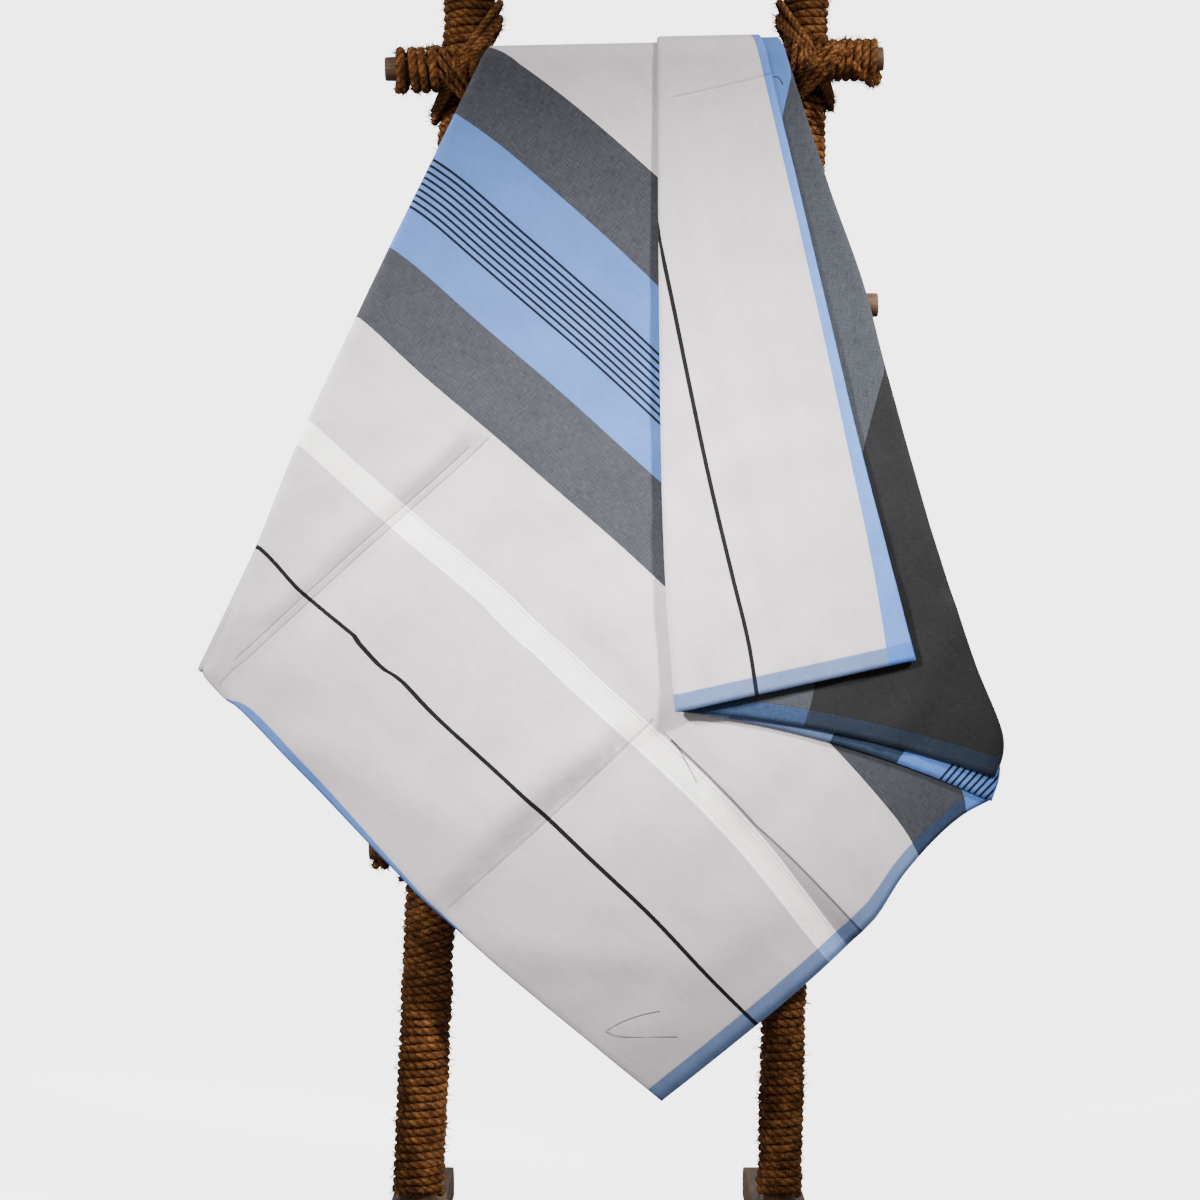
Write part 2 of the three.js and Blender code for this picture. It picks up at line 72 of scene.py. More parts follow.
# Posts: where the foot stands and how the post leans, its radius bare and roped, which side is
# outward, and how far the rungs reach past it
POSTS = named_table(
    "foot lean y core roped outward overhang lowest",
    left=(-186.8, 0.0434, 0, 20, 27, -1, 81, 63),
    right=(183.2, 0.023, -3.5, 17, 23.5, 1, 77, 77),
)

# Rope round the posts: where it starts and ends, and how much its turns climb towards the right
ROPED_FROM = 38
ROPED_TO = 1288
CLIMB = {
    "left": table(
        "z climb",
        (38, 0), (240, 0.02), (300, 0.3), (360, 0.34), (640, 0.1), (1040, 0.12), (1130, 0.4),
        (1170, 0.3), (1220, 0.04), (1288, 0),
    ),
    "right": table(
        "z climb",
        (38, 0), (240, -0.03), (700, 0.08), (1080, 0.1), (1150, -0.2), (1210, 0.05), (1288, 0),
    ),
}
ROPE = {"radius": 4.7, "pitch": 8.5, "turn_steps": 24, "sides": 8, "strands": 3, "strand_lay": 24}

# How uneven the turns are: how far one lies out or rises, how far their slack reaches, and the
# lengths over which both change
UNEVEN = {"out": 1.1, "rise": 1.3, "slack": 1.3, "turn_length": 5, "slack_length": 22}

# Stray hairs of the rope: how many make a tuft, their thickness at the root and the tip, where they
# stand in the rope's radius, how they lean along it and up or down, and their shortest share
FIBRES = {"tuft": 60, "root": 0.6, "tip": 0.12, "out": 0.85, "along": 0.9, "upright": 0.25, "least": 0.35}

# How many hairs each rope has, and how long the longest is
HAIRS = named_table(
    "count longest",
    post=(9600, 9.5),
    top_lashing=(1500, 9),
    lashing=(600, 9),
    collar=(600, 8),
    loose_end=(360, 8),
)

# Turns of a joint's lashing: lean of the turn, height above the rung, and how far it lies off the wood
LOWER_TURNS = table(
    "slant up off",
    (0.7, -9, 0), (0.7, 0, 0), (0.7, 9, 0), (-0.7, -9, 2.2), (-0.7, 0, 2.2), (-0.7, 9, 2.2),
)
TOP_TURNS = table(
    "slant up off",
    (1, 0, 0), (1, 7, 0.4), (1.05, 17, 0), (-0.9, -14, 1.2), (-0.85, -24, 1.6), (-0.75, -31, 1),
)
LASHING = {"radius": 3.5, "slack": 0.9, "directions": 48}

# Short turns over the front of the top rung at each post: how far outside the post's middle, how far
# round the rung they reach each way, in degrees, how much they slant, and how far off the wood
FRONT_TURNS = {"left": [-7, 1, 9], "right": [-15, -7, 1, 9]}
FRONT_TURN = {"round": 105, "steps": 16, "slant": 2.4, "off": 0.3}

# Rope round the rungs' ends: bare wood outside it, how far its turns sag, and pairs of a turn and how
# far in it lies
END_TURNS = {
    "left": named_table(
        "bare radius sag turns",
        lowest=(3, 4.2, 1.4, [(0, 3.6), (1.7, 19)]),
        lower=(9, 4.2, 0.8, [(0, 4), (4.2, 40)]),
        top=(9, 4.9, 3.4, [(0, 4.6), (1, 9), (1.6, 19), (2.6, 28), (4, 43)]),
    ),
    "right": named_table(
        "bare radius sag turns",
        lowest=(12, 4.2, 0.8, [(0, 4), (4, 38)]),
        lower=(12, 4.2, 0.8, [(0, 4), (4, 38)]),
        top=(1, 4.3, 1.2, [(0, 4), (6.5, 57)]),
    ),
}
END_TURN = {"off": 0.2, "uneven": 0.5, "shift": 0.6, "change": 2}

# The loose end of the top right rope: its path, steps, how it thins, and where its hairs start
LOOSE_END = {
    "path": [
        (253.6, -60, 1191), (259, -61, 1184), (264, -61.5, 1177), (273, -61, 1169), (282, -59.5, 1173),
    ],
    "steps": 16, "radius": 3.6, "thins": 0.09, "hairs_from": 6, "hairs_out": 2,
}

# Rungs and posts: how much their ends are worn from the outside in, how much thinner and how uneven
# they are than their plain radius, and how many sides and stops along their length they have
STICKS = named_table(
    "worn thinner uneven sides steps",
    rung=([1.3, 0.5, 0.15], 0.2, 0.18, 36, 60),
    post=([1.5, 0.4], 0.3, 0.25, 40, 40),
)
RUNG_CROOK = {"off": 0.25, "length": 90}
POST_OFF_FOOT = 0.3

# Feet: bevel of the top ends, bevel of every edge, and how much finer the grain is across them
FOOT = {"chamfer": 12, "eased": 1.6, "grain": 16}

# How far the pile stands off the rung's axis, and how far apart its layers lie, down the front
HANG = table(
    "z clear pitch",
    (148, 22, 4.2), (448, 24, 4), (700, 25, 3), (1000, 25, 2.3), (1080, 21.5, 2), (1140, 18.4, 1.7),
    (1192, 16.4, 1.5),
)
BACK_PITCH = 2

# How late the hanging front takes up the rung's tilt, as a power of its height
TILT_FADE = 3

# Halves of the flat tube with their marks, and the place of each part in the pile, outward
HALVES = {"light": 0, "dark": 1}
PILE = {
    "under": {"light": 0, "dark": 1},
    "wide": {"light": 3, "dark": 2},
    "returned": {"light": 4, "dark": 5},
    "flap": {"light": 7, "dark": 6},
}

# Rows of the pile, counted up the front, over the rung and down the back, and the cloth over the rung
FRONT_TOP = 16
CORNER = 7
BACK_TOP = 20
BACK_END = 25
LAP = 63

# Lines of the cloth down the front, from the hem up: place, and place on the flat tube
KEYS = ("x", "z", "across", "up")
SIDE_FOLD = table(
    "at x z across up",
    (0, 62, 148, 31, 0),
    (0.44, -150, 325, 30, 276),
    (0.75, -306, 484, 24, 497),
    (0.86, -361, 541, 24, 580),
    (0.91, -377, 552, 31, 597),
    (1, -403, 582, 31, 634),
)
BIAS_FOLD = table(
    "at x z across up",
    (0, -403, 582, 31, 634),
    (0.2, -345, 705, 162, 686),
    (0.37, -304, 807, 267, 742),
    (0.58, -245, 935, 404, 785),
    (0.7, -211, 1007, 484, 820),
    (0.86, -167, 1098, 580, 846),
    (1, -122, 1192, 677, 862),
)
MID_LINE = table(
    "at x z across up",
    (0, 241, 299, 284, 0),
    (0.2, 137, 456, 300, 185),
    (0.44, 63, 690, 424, 392),
    (0.6, 60, 825, 526, 498),
    (0.75, 60, 970, 629, 588),
    (0.88, 58, 1083, 700, 656),
    (1, 57, 1192, 783, 718),
)
FOLD_ONE = table(
    "at x z across up",
    (0, 396, 448, 522, 0),
    (0.035, 404, 474, 534, 22),
    (0.07, 402, 500, 546, 45),
    (0.17, 376, 572, 582, 110),
    (0.35, 335, 707, 647, 231),
    (0.59, 285, 885, 733, 390),
    (0.69, 264, 965, 769, 455),
    (0.83, 231, 1058, 819, 548),
    (1, 188, 1192, 880, 660),
)
FOLD_TWO = table(
    "at x z across up",
    (0, 75, 538, 864, 0),
    (0.08, 71, 590, 868, 52),
    (0.19, 66, 660, 881, 120),
    (0.36, 62, 770, 902, 228),
    (0.7, 59, 993, 942, 446),
    (1, 58, 1192, 984, 632),
)
FREE_SIDE = table(
    "at x z across up",
    (0, 315, 590, 1104, 0),
    (0.17, 289, 690, 1094, 102),
    (0.34, 263, 790, 1089, 204),
    (0.59, 227, 940, 1086, 358),
    (0.92, 180, 1140, 1085, 562),
    (1, 168, 1192, 1085, 608),
)
UNDER_HEM = table(
    "at x z across up",
    (0, 60, 526, 31, 1100),
    (1, 136, 1192, 686, 1100),
)

# The same lines behind the rung: where each leaves it, and where each ends
BACK = named_table(
    "top_x x z across up",
    bias=(-96, 22, 838, 1104, 1011),
    mid=(52, 52, 812, 1104, 1040),
    one=(170, 82, 796, 1104, 1068),
    two=(58, 52, 786, 1104, 1084),
    free=(150, 80, 778, 1104, 1100),
    under_hem=(132, 118, 826, 1104, 1100),
)

# Each line whole: its front, the share of the front's rows below it, its back, how many layers its
# fold reaches past it, and to which side
LINES = named_table(
    "front start back reach outward",
    side=(SIDE_FOLD, 0, "bias", 0.5, -1),
    bias=(BIAS_FOLD, CORNER / FRONT_TOP, "bias", 1.5, -1),
    mid=(MID_LINE, 0, "mid", 0, 1),
    one=(FOLD_ONE, 0, "one", 1.5, 1),
    two=(FOLD_TWO, 0, "two", 1.5, -1),
    free=(FREE_SIDE, 0, "free", 0.5, 1),
    under_hem=(UNDER_HEM, CORNER / FRONT_TOP, "under_hem", 0, 1),
)

# Lift of the front hem above its smooth run between the tuck's end and the first fold
HEM_LIFT = table(
    "at lift",
    (0, 0), (0.6, 0), (0.7, 16), (0.8, 20), (0.9, 15), (1, 0),
)
HEM_LIFT_ROWS = 5

# How far the warp of the wide part is drawn away from its side fold, up the front, and the share of
# the way across at which it is drawn most
WARP_DRAWN = table(
    "row drawn most_at",
    (0, 0, 0.28), (2, 2.4, 0.26), (3, 5.9, 0.235), (4, 7.9, 0.21), (5, 12, 0.18),
    (5.6, 13.5, 0.165), (6, 11, 0.155), (6.5, 7.5, 0.14), (7, 6.6, 0.12), (8, 6.5, 0.09),
    (9, 2.6, 0.1), (10, 1.9, 0.12), (12, 4.9, 0.2), (14, 7, 0.3), (16, 0, 0.4), (25, 0, 0.4),
)

# Creases and soft folds of the whole pile: a path up or down the front, how high it stands, and
# how far its left and right flanks reach as the path runs
CREASES = table(
    "path height left right",
    ([(-380, 560), (-315, 625), (-225, 710), (-130, 800)], -4.6, 10, 22),
    ([(-330, 640), (-240, 725), (-140, 815)], 3.4, 24, 10),
    ([(-172, 352), (-105, 420), (-62, 462), (-10, 495)], 8, 32, 14),
    ([(-142, 340), (-90, 395), (-50, 435), (25, 500)], -6, 16, 54),
    ([(122, 466), (153, 427), (173, 403), (213, 365), (266, 315)], 5, 34, 9),
    ([(-20, 640), (60, 560), (130, 486)], 2.4, 24, 10),
    ([(20, 190), (70, 260), (150, 330)], 4.4, 24, 32),
    ([(-80, 300), (10, 290), (70, 300)], 3.6, 22, 22),
    ([(-300, 505), (-230, 470), (-160, 430)], 4, 24, 24),
    ([(290, 520), (330, 560), (352, 640)], 4, 13, 17),
    ([(322, 500), (345, 560), (358, 600)], -3, 6, 6),
    ([(100, 620), (130, 800), (120, 960)], 2.6, 34, 40),
    ([(-60, 880), (-20, 760), (10, 640)], 2.4, 26, 30),
)

# Soft swells of the hanging pile: how high and wide, how much finer the small ones are, and the
# heights between which all unevenness calms down towards the rung
SWAY = {"high": 1.9, "wide": 130, "finer": 2.7, "calm_from": 820, "calm_to": 1080}

# How much higher the hems lie at the folds and in the middle of the returned panel, fading upward
FOLD_RISE = {"dark": 25, "dark_middle": 11, "light_middle": 13, "rows": 6}

# Cloth that the turn of a fold takes up, before the panel it leads to
FOLD_TAKES = {"returned": 5, "flap": 5}
CLOTH_THICK = 0.8

# Panels of each half between two lines, and how many strips of faces each gets across
PANELS = named_table(
    "start middle end strips",
    under=("under_hem", None, "bias", 8),
    wide=("left", "mid", "one", 86),
    returned=("one", None, "two", 26),
    flap=("two", None, "free", 28),
)
PANEL_ORDER = list(PANELS)

# Strips of faces between two rows in front, over the rung and behind it, and round a fold
FRONT_STRIPS = 7
OVER_STRIPS = 3
REAR_STRIPS = 2
FOLD_STRIPS = 4


def read_table(rows, at, column, key="at"):
    """A table's value between its rows, on a smooth curve through them."""
    last = len(rows) - 1
    index = 0
    while index < last - 1 and at > rows[index + 1][key]:
        index += 1

    def slope(place_in):
        before, after = rows[max(place_in - 1, 0)], rows[min(place_in + 1, last)]
        return (after[column] - before[column]) / (after[key] - before[key])

    span = rows[index + 1][key] - rows[index][key]
    t = min(max((at - rows[index][key]) / span, 0), 1)
    rise = rows[index + 1][column] - rows[index][column]
    start, end = slope(index) * span, slope(index + 1) * span
    bend = t * (1 - t) * ((start - rise) * (1 - t) + (rise - end) * t)
    return rows[index][column] + rise * t + bend


def mix(a, b, share):
    return a + (b - a) * share


def wobble(*at):
    """Smooth noise at a place, from about -1 to 1."""
    return noise.noise(Vector(at))


def point_on(rows, at):
    return {key: read_table(rows, at, key) for key in KEYS}


@functools.lru_cache(maxsize=None)
def line_at(name, row):
    """One line of the cloth at a row: on its own table in front, across the rung, and down the back."""
    if name == "left":
        if row > CORNER:
            return line_at("bias", row)
        return point_on(SIDE_FOLD, row / CORNER)
    line = LINES[name]
    if row <= FRONT_TOP:
        return point_on(line["front"], (row / FRONT_TOP - line["start"]) / (1 - line["start"]))
    top, end = point_on(line["front"], 1), BACK[line["back"]]
    over = min((row - FRONT_TOP) / (BACK_TOP - FRONT_TOP), 1)
    rear = max((row - BACK_TOP) / (BACK_END - BACK_TOP), 0)
    drop = top["z"] - end["z"]
    gone = (LAP * over + drop * rear) / (LAP + drop)
    return {
        "x": mix(mix(top["x"], end["top_x"], over), end["x"], rear),
        "z": mix(top["z"], end["z"], rear),
        "across": mix(top["across"], end["across"], gone),
        "up": mix(top["up"], end["up"], gone),
    }


@functools.lru_cache(maxsize=None)
def outward_of(name, row, sign):
    """Unit direction out of the pile, square to a line in the plane of the front."""
    if row > FRONT_TOP:
        return sign, 0
    below, above = line_at(name, max(row - 1, 0)), line_at(name, min(row + 1, FRONT_TOP))
    run_x, run_z = above["x"] - below["x"], above["z"] - below["z"]
    length = math.hypot(run_x, run_z)
    return sign * run_z / length, -sign * run_x / length


def pitch_at(row, z):
    return BACK_PITCH if row > BACK_TOP else read_table(HANG, z, "pitch", "z")


def place(row, x, z, deep):
    """A point of the pile in space: row, place in the plane of the front, and place in the pile."""
    top = HANG[-1]
    if row <= FRONT_TOP:
        radius = read_table(HANG, z, "clear", "z") + deep * read_table(HANG, z, "pitch", "z")
        follow = (row / FRONT_TOP) ** TILT_FADE
        return Vector((x, RUNG_Y - radius - ripple(x, z), z + RUNG_TILT * x * follow))
    turn = min((row - FRONT_TOP) / (BACK_TOP - FRONT_TOP), 1)
    drop = max((row - BACK_TOP) / (BACK_END - BACK_TOP), 0)
    radius = top["clear"] + deep * mix(top["pitch"], BACK_PITCH, drop)
    angle = math.pi * turn
    axis = RUNG_HEIGHTS[-1] + RUNG_TILT * x
    height = z + RUNG_TILT * x if drop > 0 else axis + radius * math.sin(angle)
    return Vector((x, RUNG_Y - radius * math.cos(angle), height))


def crease_height(crease, x, z):
    """Height of one crease at a place: highest on its path, and fading over its two flanks."""
    nearest, side = None, 1
    for (from_x, from_z), (to_x, to_z) in zip(crease["path"], crease["path"][1:]):
        run_x, run_z = to_x - from_x, to_z - from_z
        share = ((x - from_x) * run_x + (z - from_z) * run_z) / (run_x ** 2 + run_z ** 2)
        share = min(max(share, 0), 1)
        off_x, off_z = x - from_x - run_x * share, z - from_z - run_z * share
        distance = math.hypot(off_x, off_z)
        if nearest is None or distance < nearest:
            nearest, side = distance, run_x * off_z - run_z * off_x
    reach = crease["left"] if side > 0 else crease["right"]
    return crease["height"] * math.exp(-(nearest / reach) ** 2)


@functools.lru_cache(maxsize=None)
def ripple(x, z):
    """How far the hanging pile bows towards the viewer, beyond its even hang."""
    calm = min(max((SWAY["calm_to"] - z) / (SWAY["calm_to"] - SWAY["calm_from"]), 0), 1)
    wide_x, wide_z = x / SWAY["wide"], z / SWAY["wide"]
    waves = wobble(wide_x, wide_z, 4) * SWAY["high"] * 2
    waves += wobble(wide_x * SWAY["finer"], wide_z * SWAY["finer"], 9) * SWAY["high"]
    return (waves + sum(crease_height(crease, x, z) for crease in CREASES)) * calm


@functools.lru_cache(maxsize=None)
def panel_end(name, row):
    """End of a panel at a row, drawn in so that its fold's outermost layer meets the line."""
    traits = LINES[name] if name != "left" else LINES["side" if row < CORNER else "bias"]
    point = dict(line_at(name, row))
    out_x, out_z = outward_of(name, row, traits["outward"])
    inset = traits["reach"] * pitch_at(row, point["z"])
    point.update(x=point["x"] - out_x * inset, z=point["z"] - out_z * inset, out=(out_x, out_z))
    return point


def across_panel(panel, row, share):
    """Place and flat place at a share of the way across a panel."""
    start, end = panel_end(panel["start"], row), panel_end(panel["end"], row)
    if not panel["middle"]:
        return {key: mix(start[key], end[key], share) for key in KEYS}
    middle = panel_end(panel["middle"], row)
    early, late = 2 * (share - 0.5) * (share - 1), 2 * share * (share - 0.5)
    centre = 4 * share * (1 - share)
    return {key: early * start[key] + centre * middle[key] + late * end[key] for key in KEYS}


def hem_rise(half, name, share, row):
    """How much higher a half's hem lies than the straight run."""
    fade = max(1 - row / FOLD_RISE["rows"], 0)
    if half == "dark":
        closeness = {"wide": share, "returned": 1 - share}.get(name, 0)
        bow = FOLD_RISE["dark_middle"] * 4 * share * (1 - share) if name == "returned" else 0
        return (FOLD_RISE["dark"] * closeness + bow) * fade
    if name == "wide":
        return read_table(HEM_LIFT, share, "lift") * max(1 - row / HEM_LIFT_ROWS, 0)
    if name == "returned":
        return FOLD_RISE["light_middle"] * 4 * share * (1 - share) * fade
    return 0


def panel_point(half, name, share, row):
    """A point of a panel, with its mark: its place across and up the flat tube, in metres."""
    spot = across_panel(PANELS[name], row, share)
    z = spot["z"] + hem_rise(half, name, share, row)
    across = spot["across"]
    if name == "wide":
        near = share / read_table(WARP_DRAWN, row, "most_at", "row")
        across += read_table(WARP_DRAWN, row, "drawn", "row") * (near * math.exp(1 - near)) ** 2
    return place(row, spot["x"], z, PILE[name][half]), (across * MM, spot["up"] * MM)


def fold_point(half, name, next_name, share, row):
    """A point of the half-turn between a panel's end and the next panel's start."""
    end = panel_end(PANELS[name]["end"], row)
    deep, next_deep = PILE[name][half], PILE[next_name][half]
    rise = hem_rise(half, name, 1, row)
    half_step = (next_deep - deep) / 2
    angle = math.pi * (share - 0.5)
    out = abs(half_step) * pitch_at(row, end["z"]) * math.cos(angle)
    level = deep + half_step * (1 + math.sin(angle))
    x, z = end["x"] + end["out"][0] * out, end["z"] + end["out"][1] * out + rise
    across = end["across"] - FOLD_TAKES.get(next_name, 0) * math.sin(math.pi * share)
    return place(row, x, z, level), (across * MM, end["up"] * MM)


def side_point(light, dark, outward, share):
    """A point of the turn from the light half to the dark half."""
    angle = math.pi * (share - 0.5)
    middle, radius = (light + dark) / 2, (dark - light).length / 2
    return middle + (dark - light) * 0.5 * math.sin(angle) + outward * radius * math.cos(angle)


def shaped_grid(mesh, columns, rows, spot):
    """A grid whose point (column, row) is moved and marked as spot(column, row) says."""
    marks = mesh.verts.layers.float_vector["mark"]
    made = bmesh.ops.create_grid(mesh, x_segments=columns, y_segments=rows, size=0.5)
    for vert in made["verts"]:
        point, mark = spot(round((vert.co.x + 0.5) * columns), round((vert.co.y + 0.5) * rows))
        vert.co = point * MM
        vert[marks] = mark


def new_mesh():
    mesh = bmesh.new()
    mesh.verts.layers.float_vector.new("mark")
    return mesh


def row_stops(first):
    """The rows at which a panel is built: close down the front, wider behind the rung."""
    front = [first + step / FRONT_STRIPS for step in range((FRONT_TOP - first) * FRONT_STRIPS)]
    over = [FRONT_TOP + step / OVER_STRIPS for step in range((BACK_TOP - FRONT_TOP) * OVER_STRIPS)]
    rear = [BACK_TOP + step / REAR_STRIPS for step in range((BACK_END - BACK_TOP) * REAR_STRIPS + 1)]
    return front + over + rear


def cloth_mesh():
    """Both halves of the tube, joined along its side folds."""
    mesh = new_mesh()

    def lay(reader, half, names, strips, stops):
        def spot(column, row):
            point, mark = reader(half, *names, column / strips, stops[row])
            return point, (*mark, HALVES[half])

        shaped_grid(mesh, strips, len(stops) - 1, spot)

    for half in HALVES:
        for name, next_name in zip(PANEL_ORDER, [*PANEL_ORDER[1:], None]):
            stops = row_stops(CORNER if name == "under" else 0)
            lay(panel_point, half, [name], PANELS[name]["strips"], stops)
            if next_name:
                lay(fold_point, half, [name, next_name], FOLD_STRIPS, stops)

    def join(path):
        def spot(column, row):
            light, dark, outward, mark = path[row]
            share = column / FOLD_STRIPS
            return side_point(light, dark, outward, share), (*mark, share)

        shaped_grid(mesh, FOLD_STRIPS, len(path) - 1, spot)

    def both(reader, outward, *place_of):
        (light, mark), (dark, _) = reader("light", *place_of), reader("dark", *place_of)
        return light, dark, outward, mark

    def along_row(row, names):
        """The path across a row's panels and folds, from the last named panel back to the first."""
        path = []
        down = Vector((0, 0, -1))
        for name in reversed(names):
            strips = PANELS[name]["strips"]
            if name != "flap":
                next_name = PANEL_ORDER[PANEL_ORDER.index(name) + 1]
                for step in range(FOLD_STRIPS, 0, -1):
                    path.append(both(fold_point, down, name, next_name, step / FOLD_STRIPS, row))
            for step in range(strips, -1, -1):
                path.append(both(panel_point, down, name, step / strips, row))
        return path

    side = []
    for row in row_stops(0)[:CORNER * FRONT_STRIPS + 1]:
        out_x, out_z = outward_of("left", min(row, CORNER - 2), -1)
        side.append(both(panel_point, Vector((out_x, 0, out_z)), "wide", 0, row))
    join(side + along_row(CORNER, ["under"])[1:])

    free = []
    for row in row_stops(0)[:-1]:
        out_x, out_z = outward_of("free", row, 1)
        free.append(both(panel_point, Vector((out_x, 0, out_z)), "flap", 1, row))
    join(free + along_row(BACK_END, PANEL_ORDER))
    return mesh


def laid(mesh, path, reach, sides=8):
    """A round length along a path, closed at its ends, marked with its length and the turn round it."""
    last = len(path) - 1
    lengths = [0]
    for before, after in zip(path, path[1:]):
        lengths.append(lengths[-1] + (after - before).length)
    frames, out = [], None
    for index in range(last + 1):
        along = (path[min(index + 1, last)] - path[max(index - 1, 0)]).normalized()
        out = out or along.orthogonal()
        out = (out - along * out.dot(along)).normalized()
        frames.append((out, along.cross(out)))

    def spot(side, row):
        index = min(max(row - 1, 0), last)
        turn = 2 * math.pi * side / sides
        first, second = frames[index]
        radius = 0 if row in (0, last + 2) else reach(index) if callable(reach) else reach
        point = path[index] + (first * math.cos(turn) + second * math.sin(turn)) * radius
        return point, (lengths[index] * MM, math.cos(turn), math.sin(turn))

    shaped_grid(mesh, sides, last + 2, spot)


def smooth_path(points, steps):
    """A smooth path through a few points."""
    rows = [{"at": index, "x": x, "y": y, "z": z} for index, (x, y, z) in enumerate(points)]
    places = [step * (len(points) - 1) / steps for step in range(steps + 1)]
    return [Vector([read_table(rows, at, key) for key in ("x", "y", "z")]) for at in places]


def post_x(post, z):
    return post["foot"] + post["lean"] * (z - FLOOR_TO_POST)


def overhang_at(post, rung_height):
    """How far a rung reaches past a post."""
    return post["lowest" if rung_height == RUNG_HEIGHTS[0] else "overhang"]


def round_post(name, post):
    """Rope wound closely round a post, each turn a little uneven and climbing as its neighbours do."""
    path = []
    per_turn = ROPE["turn_steps"]
    turns = (ROPED_TO - ROPED_FROM - 2 * ROPE["radius"]) / ROPE["pitch"]
    for step in range(int(turns * per_turn) + 1):
        angle = 2 * math.pi * step / per_turn
        height = ROPED_FROM + ROPE["radius"] + ROPE["pitch"] * step / per_turn
        along = height / UNEVEN["turn_length"]
        uneven = wobble(along, math.cos(angle), post["foot"] + math.sin(angle))
        slack = wobble(post["foot"], height / UNEVEN["slack_length"], 2)
        out = post["roped"] - ROPE["radius"] + UNEVEN["out"] * uneven + UNEVEN["slack"] * slack
        x, y = out * math.cos(angle), out * math.sin(angle)
        z = height + read_table(CLIMB[name], height, "climb", "z") * x + UNEVEN["rise"] * uneven
        path.append(Vector((post_x(post, z) + x, post["y"] + y, z)))
    return path


def lashing_turn(post, rung_height, slant, up, off):
    """A rope's turn in a slanted plane, taut round the back of a post and the front of a rung."""
    gap = LASHING["radius"] + LASHING["slack"] + off
    rounds = [
        {"wide": (post["roped"] + gap) / math.cos(slant), "deep": post["roped"] + gap, "x": 0, "y": 0},
        {"wide": (RUNG_RADIUS + gap) / abs(math.sin(slant)), "deep": RUNG_RADIUS + gap,
         "x": up / math.sin(slant), "y": RUNG_Y - post["y"]},
    ]
    centre_x = post_x(post, rung_height)
    path = []
    for step in range(LASHING["directions"] + 1):
        angle = 2 * math.pi * step / LASHING["directions"]
        reach, along, back = max(
            (span + part["x"] * math.cos(angle) + part["y"] * math.sin(angle),
             part["x"] + part["wide"] ** 2 * math.cos(angle) / span,
             part["y"] + part["deep"] ** 2 * math.sin(angle) / span)
            for part in rounds
            for span in [math.hypot(part["wide"] * math.cos(angle), part["deep"] * math.sin(angle))]
        )
        rise = up - along * math.sin(slant)
        x = centre_x + along * math.cos(slant) + post["lean"] * rise
        path.append(Vector((x, post["y"] + back, rung_height + RUNG_TILT * x + rise)))
    return path


def front_turn(post, rung_height, along):
    """A rope over the front of a rung, its ends tucked in between the rung and the post."""
    path = []
    out = RUNG_RADIUS + LASHING["radius"] + FRONT_TURN["off"]
    for step in range(FRONT_TURN["steps"] + 1):
        angle = math.radians(mix(-FRONT_TURN["round"], FRONT_TURN["round"], step / FRONT_TURN["steps"]))
        x = post_x(post, rung_height) + post["outward"] * (along + FRONT_TURN["slant"] * angle)
        z = rung_height + RUNG_TILT * x + out * math.sin(angle)
        path.append(Vector((x, RUNG_Y - out * math.cos(angle), z)))
    return path


def round_rung(post, rung_height, ends):
    """Rope turns round a rung's end, outside its post."""
    rows = table("turn along", *ends["turns"])
    steps = int(rows[-1]["turn"] * ROPE["turn_steps"])
    outer = post_x(post, rung_height) + post["outward"] * (overhang_at(post, rung_height) - ends["bare"])
    path = []
    for step in range(steps + 1):
        turn = step / ROPE["turn_steps"]
        angle = 2 * math.pi * turn
        x = outer - post["outward"] * read_table(rows, turn, "along", "turn")
        uneven = wobble(turn * END_TURN["change"], post["foot"], rung_height)
        out = RUNG_RADIUS + ends["radius"] + END_TURN["off"] + END_TURN["uneven"] * uneven
        hang = ends["sag"] * (1 + math.cos(angle)) / 2
        y, z = out * math.sin(angle), -(out + hang) * math.cos(angle)
        path.append(Vector((x + END_TURN["shift"] * uneven, RUNG_Y + y, rung_height + RUNG_TILT * x + z)))
    return path


def stray_fibres(mesh, paths, radius, hairs, seed):
    """Short stiff hairs that stand out of ropes, in small tufts of a few dozen."""
    chance = random.Random(seed)
    for _ in range(hairs["count"] // FIBRES["tuft"]):
        tuft = new_mesh()
        marks = tuft.verts.layers.float_vector["mark"]
        for _ in range(FIBRES["tuft"]):
            path = chance.choice(paths)
            index = chance.randrange(1, len(path) - 1)
            along = (path[index + 1] - path[index - 1]).normalized()
            side = Vector([chance.gauss(0, 1) for _ in range(3)])
            side = (side - along * side.dot(along)).normalized()
            lean = side + along * chance.gauss(0, FIBRES["along"])
            lean = (lean + Vector((0, 0, chance.gauss(0, FIBRES["upright"])))).normalized()
            length = hairs["longest"] * mix(FIBRES["least"], 1, chance.random() ** 2)
            middle = path[index] + side * radius * FIBRES["out"] + lean * length / 2
            turn = Vector((0, 0, 1)).rotation_difference(lean).to_matrix().to_4x4()
            made = bmesh.ops.create_cone(
                tuft, cap_ends=True, segments=3, radius1=FIBRES["root"] * MM, radius2=FIBRES["tip"] * MM,
                depth=length * MM, matrix=Matrix.Translation(middle * MM) @ turn)
            for vert in made["verts"]:
                vert[marks] = (index * MM, 1, 0)
        scratch = bpy.data.meshes.new("tuft")
        tuft.to_mesh(scratch)
        tuft.free()
        mesh.from_mesh(scratch)
        bpy.data.meshes.remove(scratch)


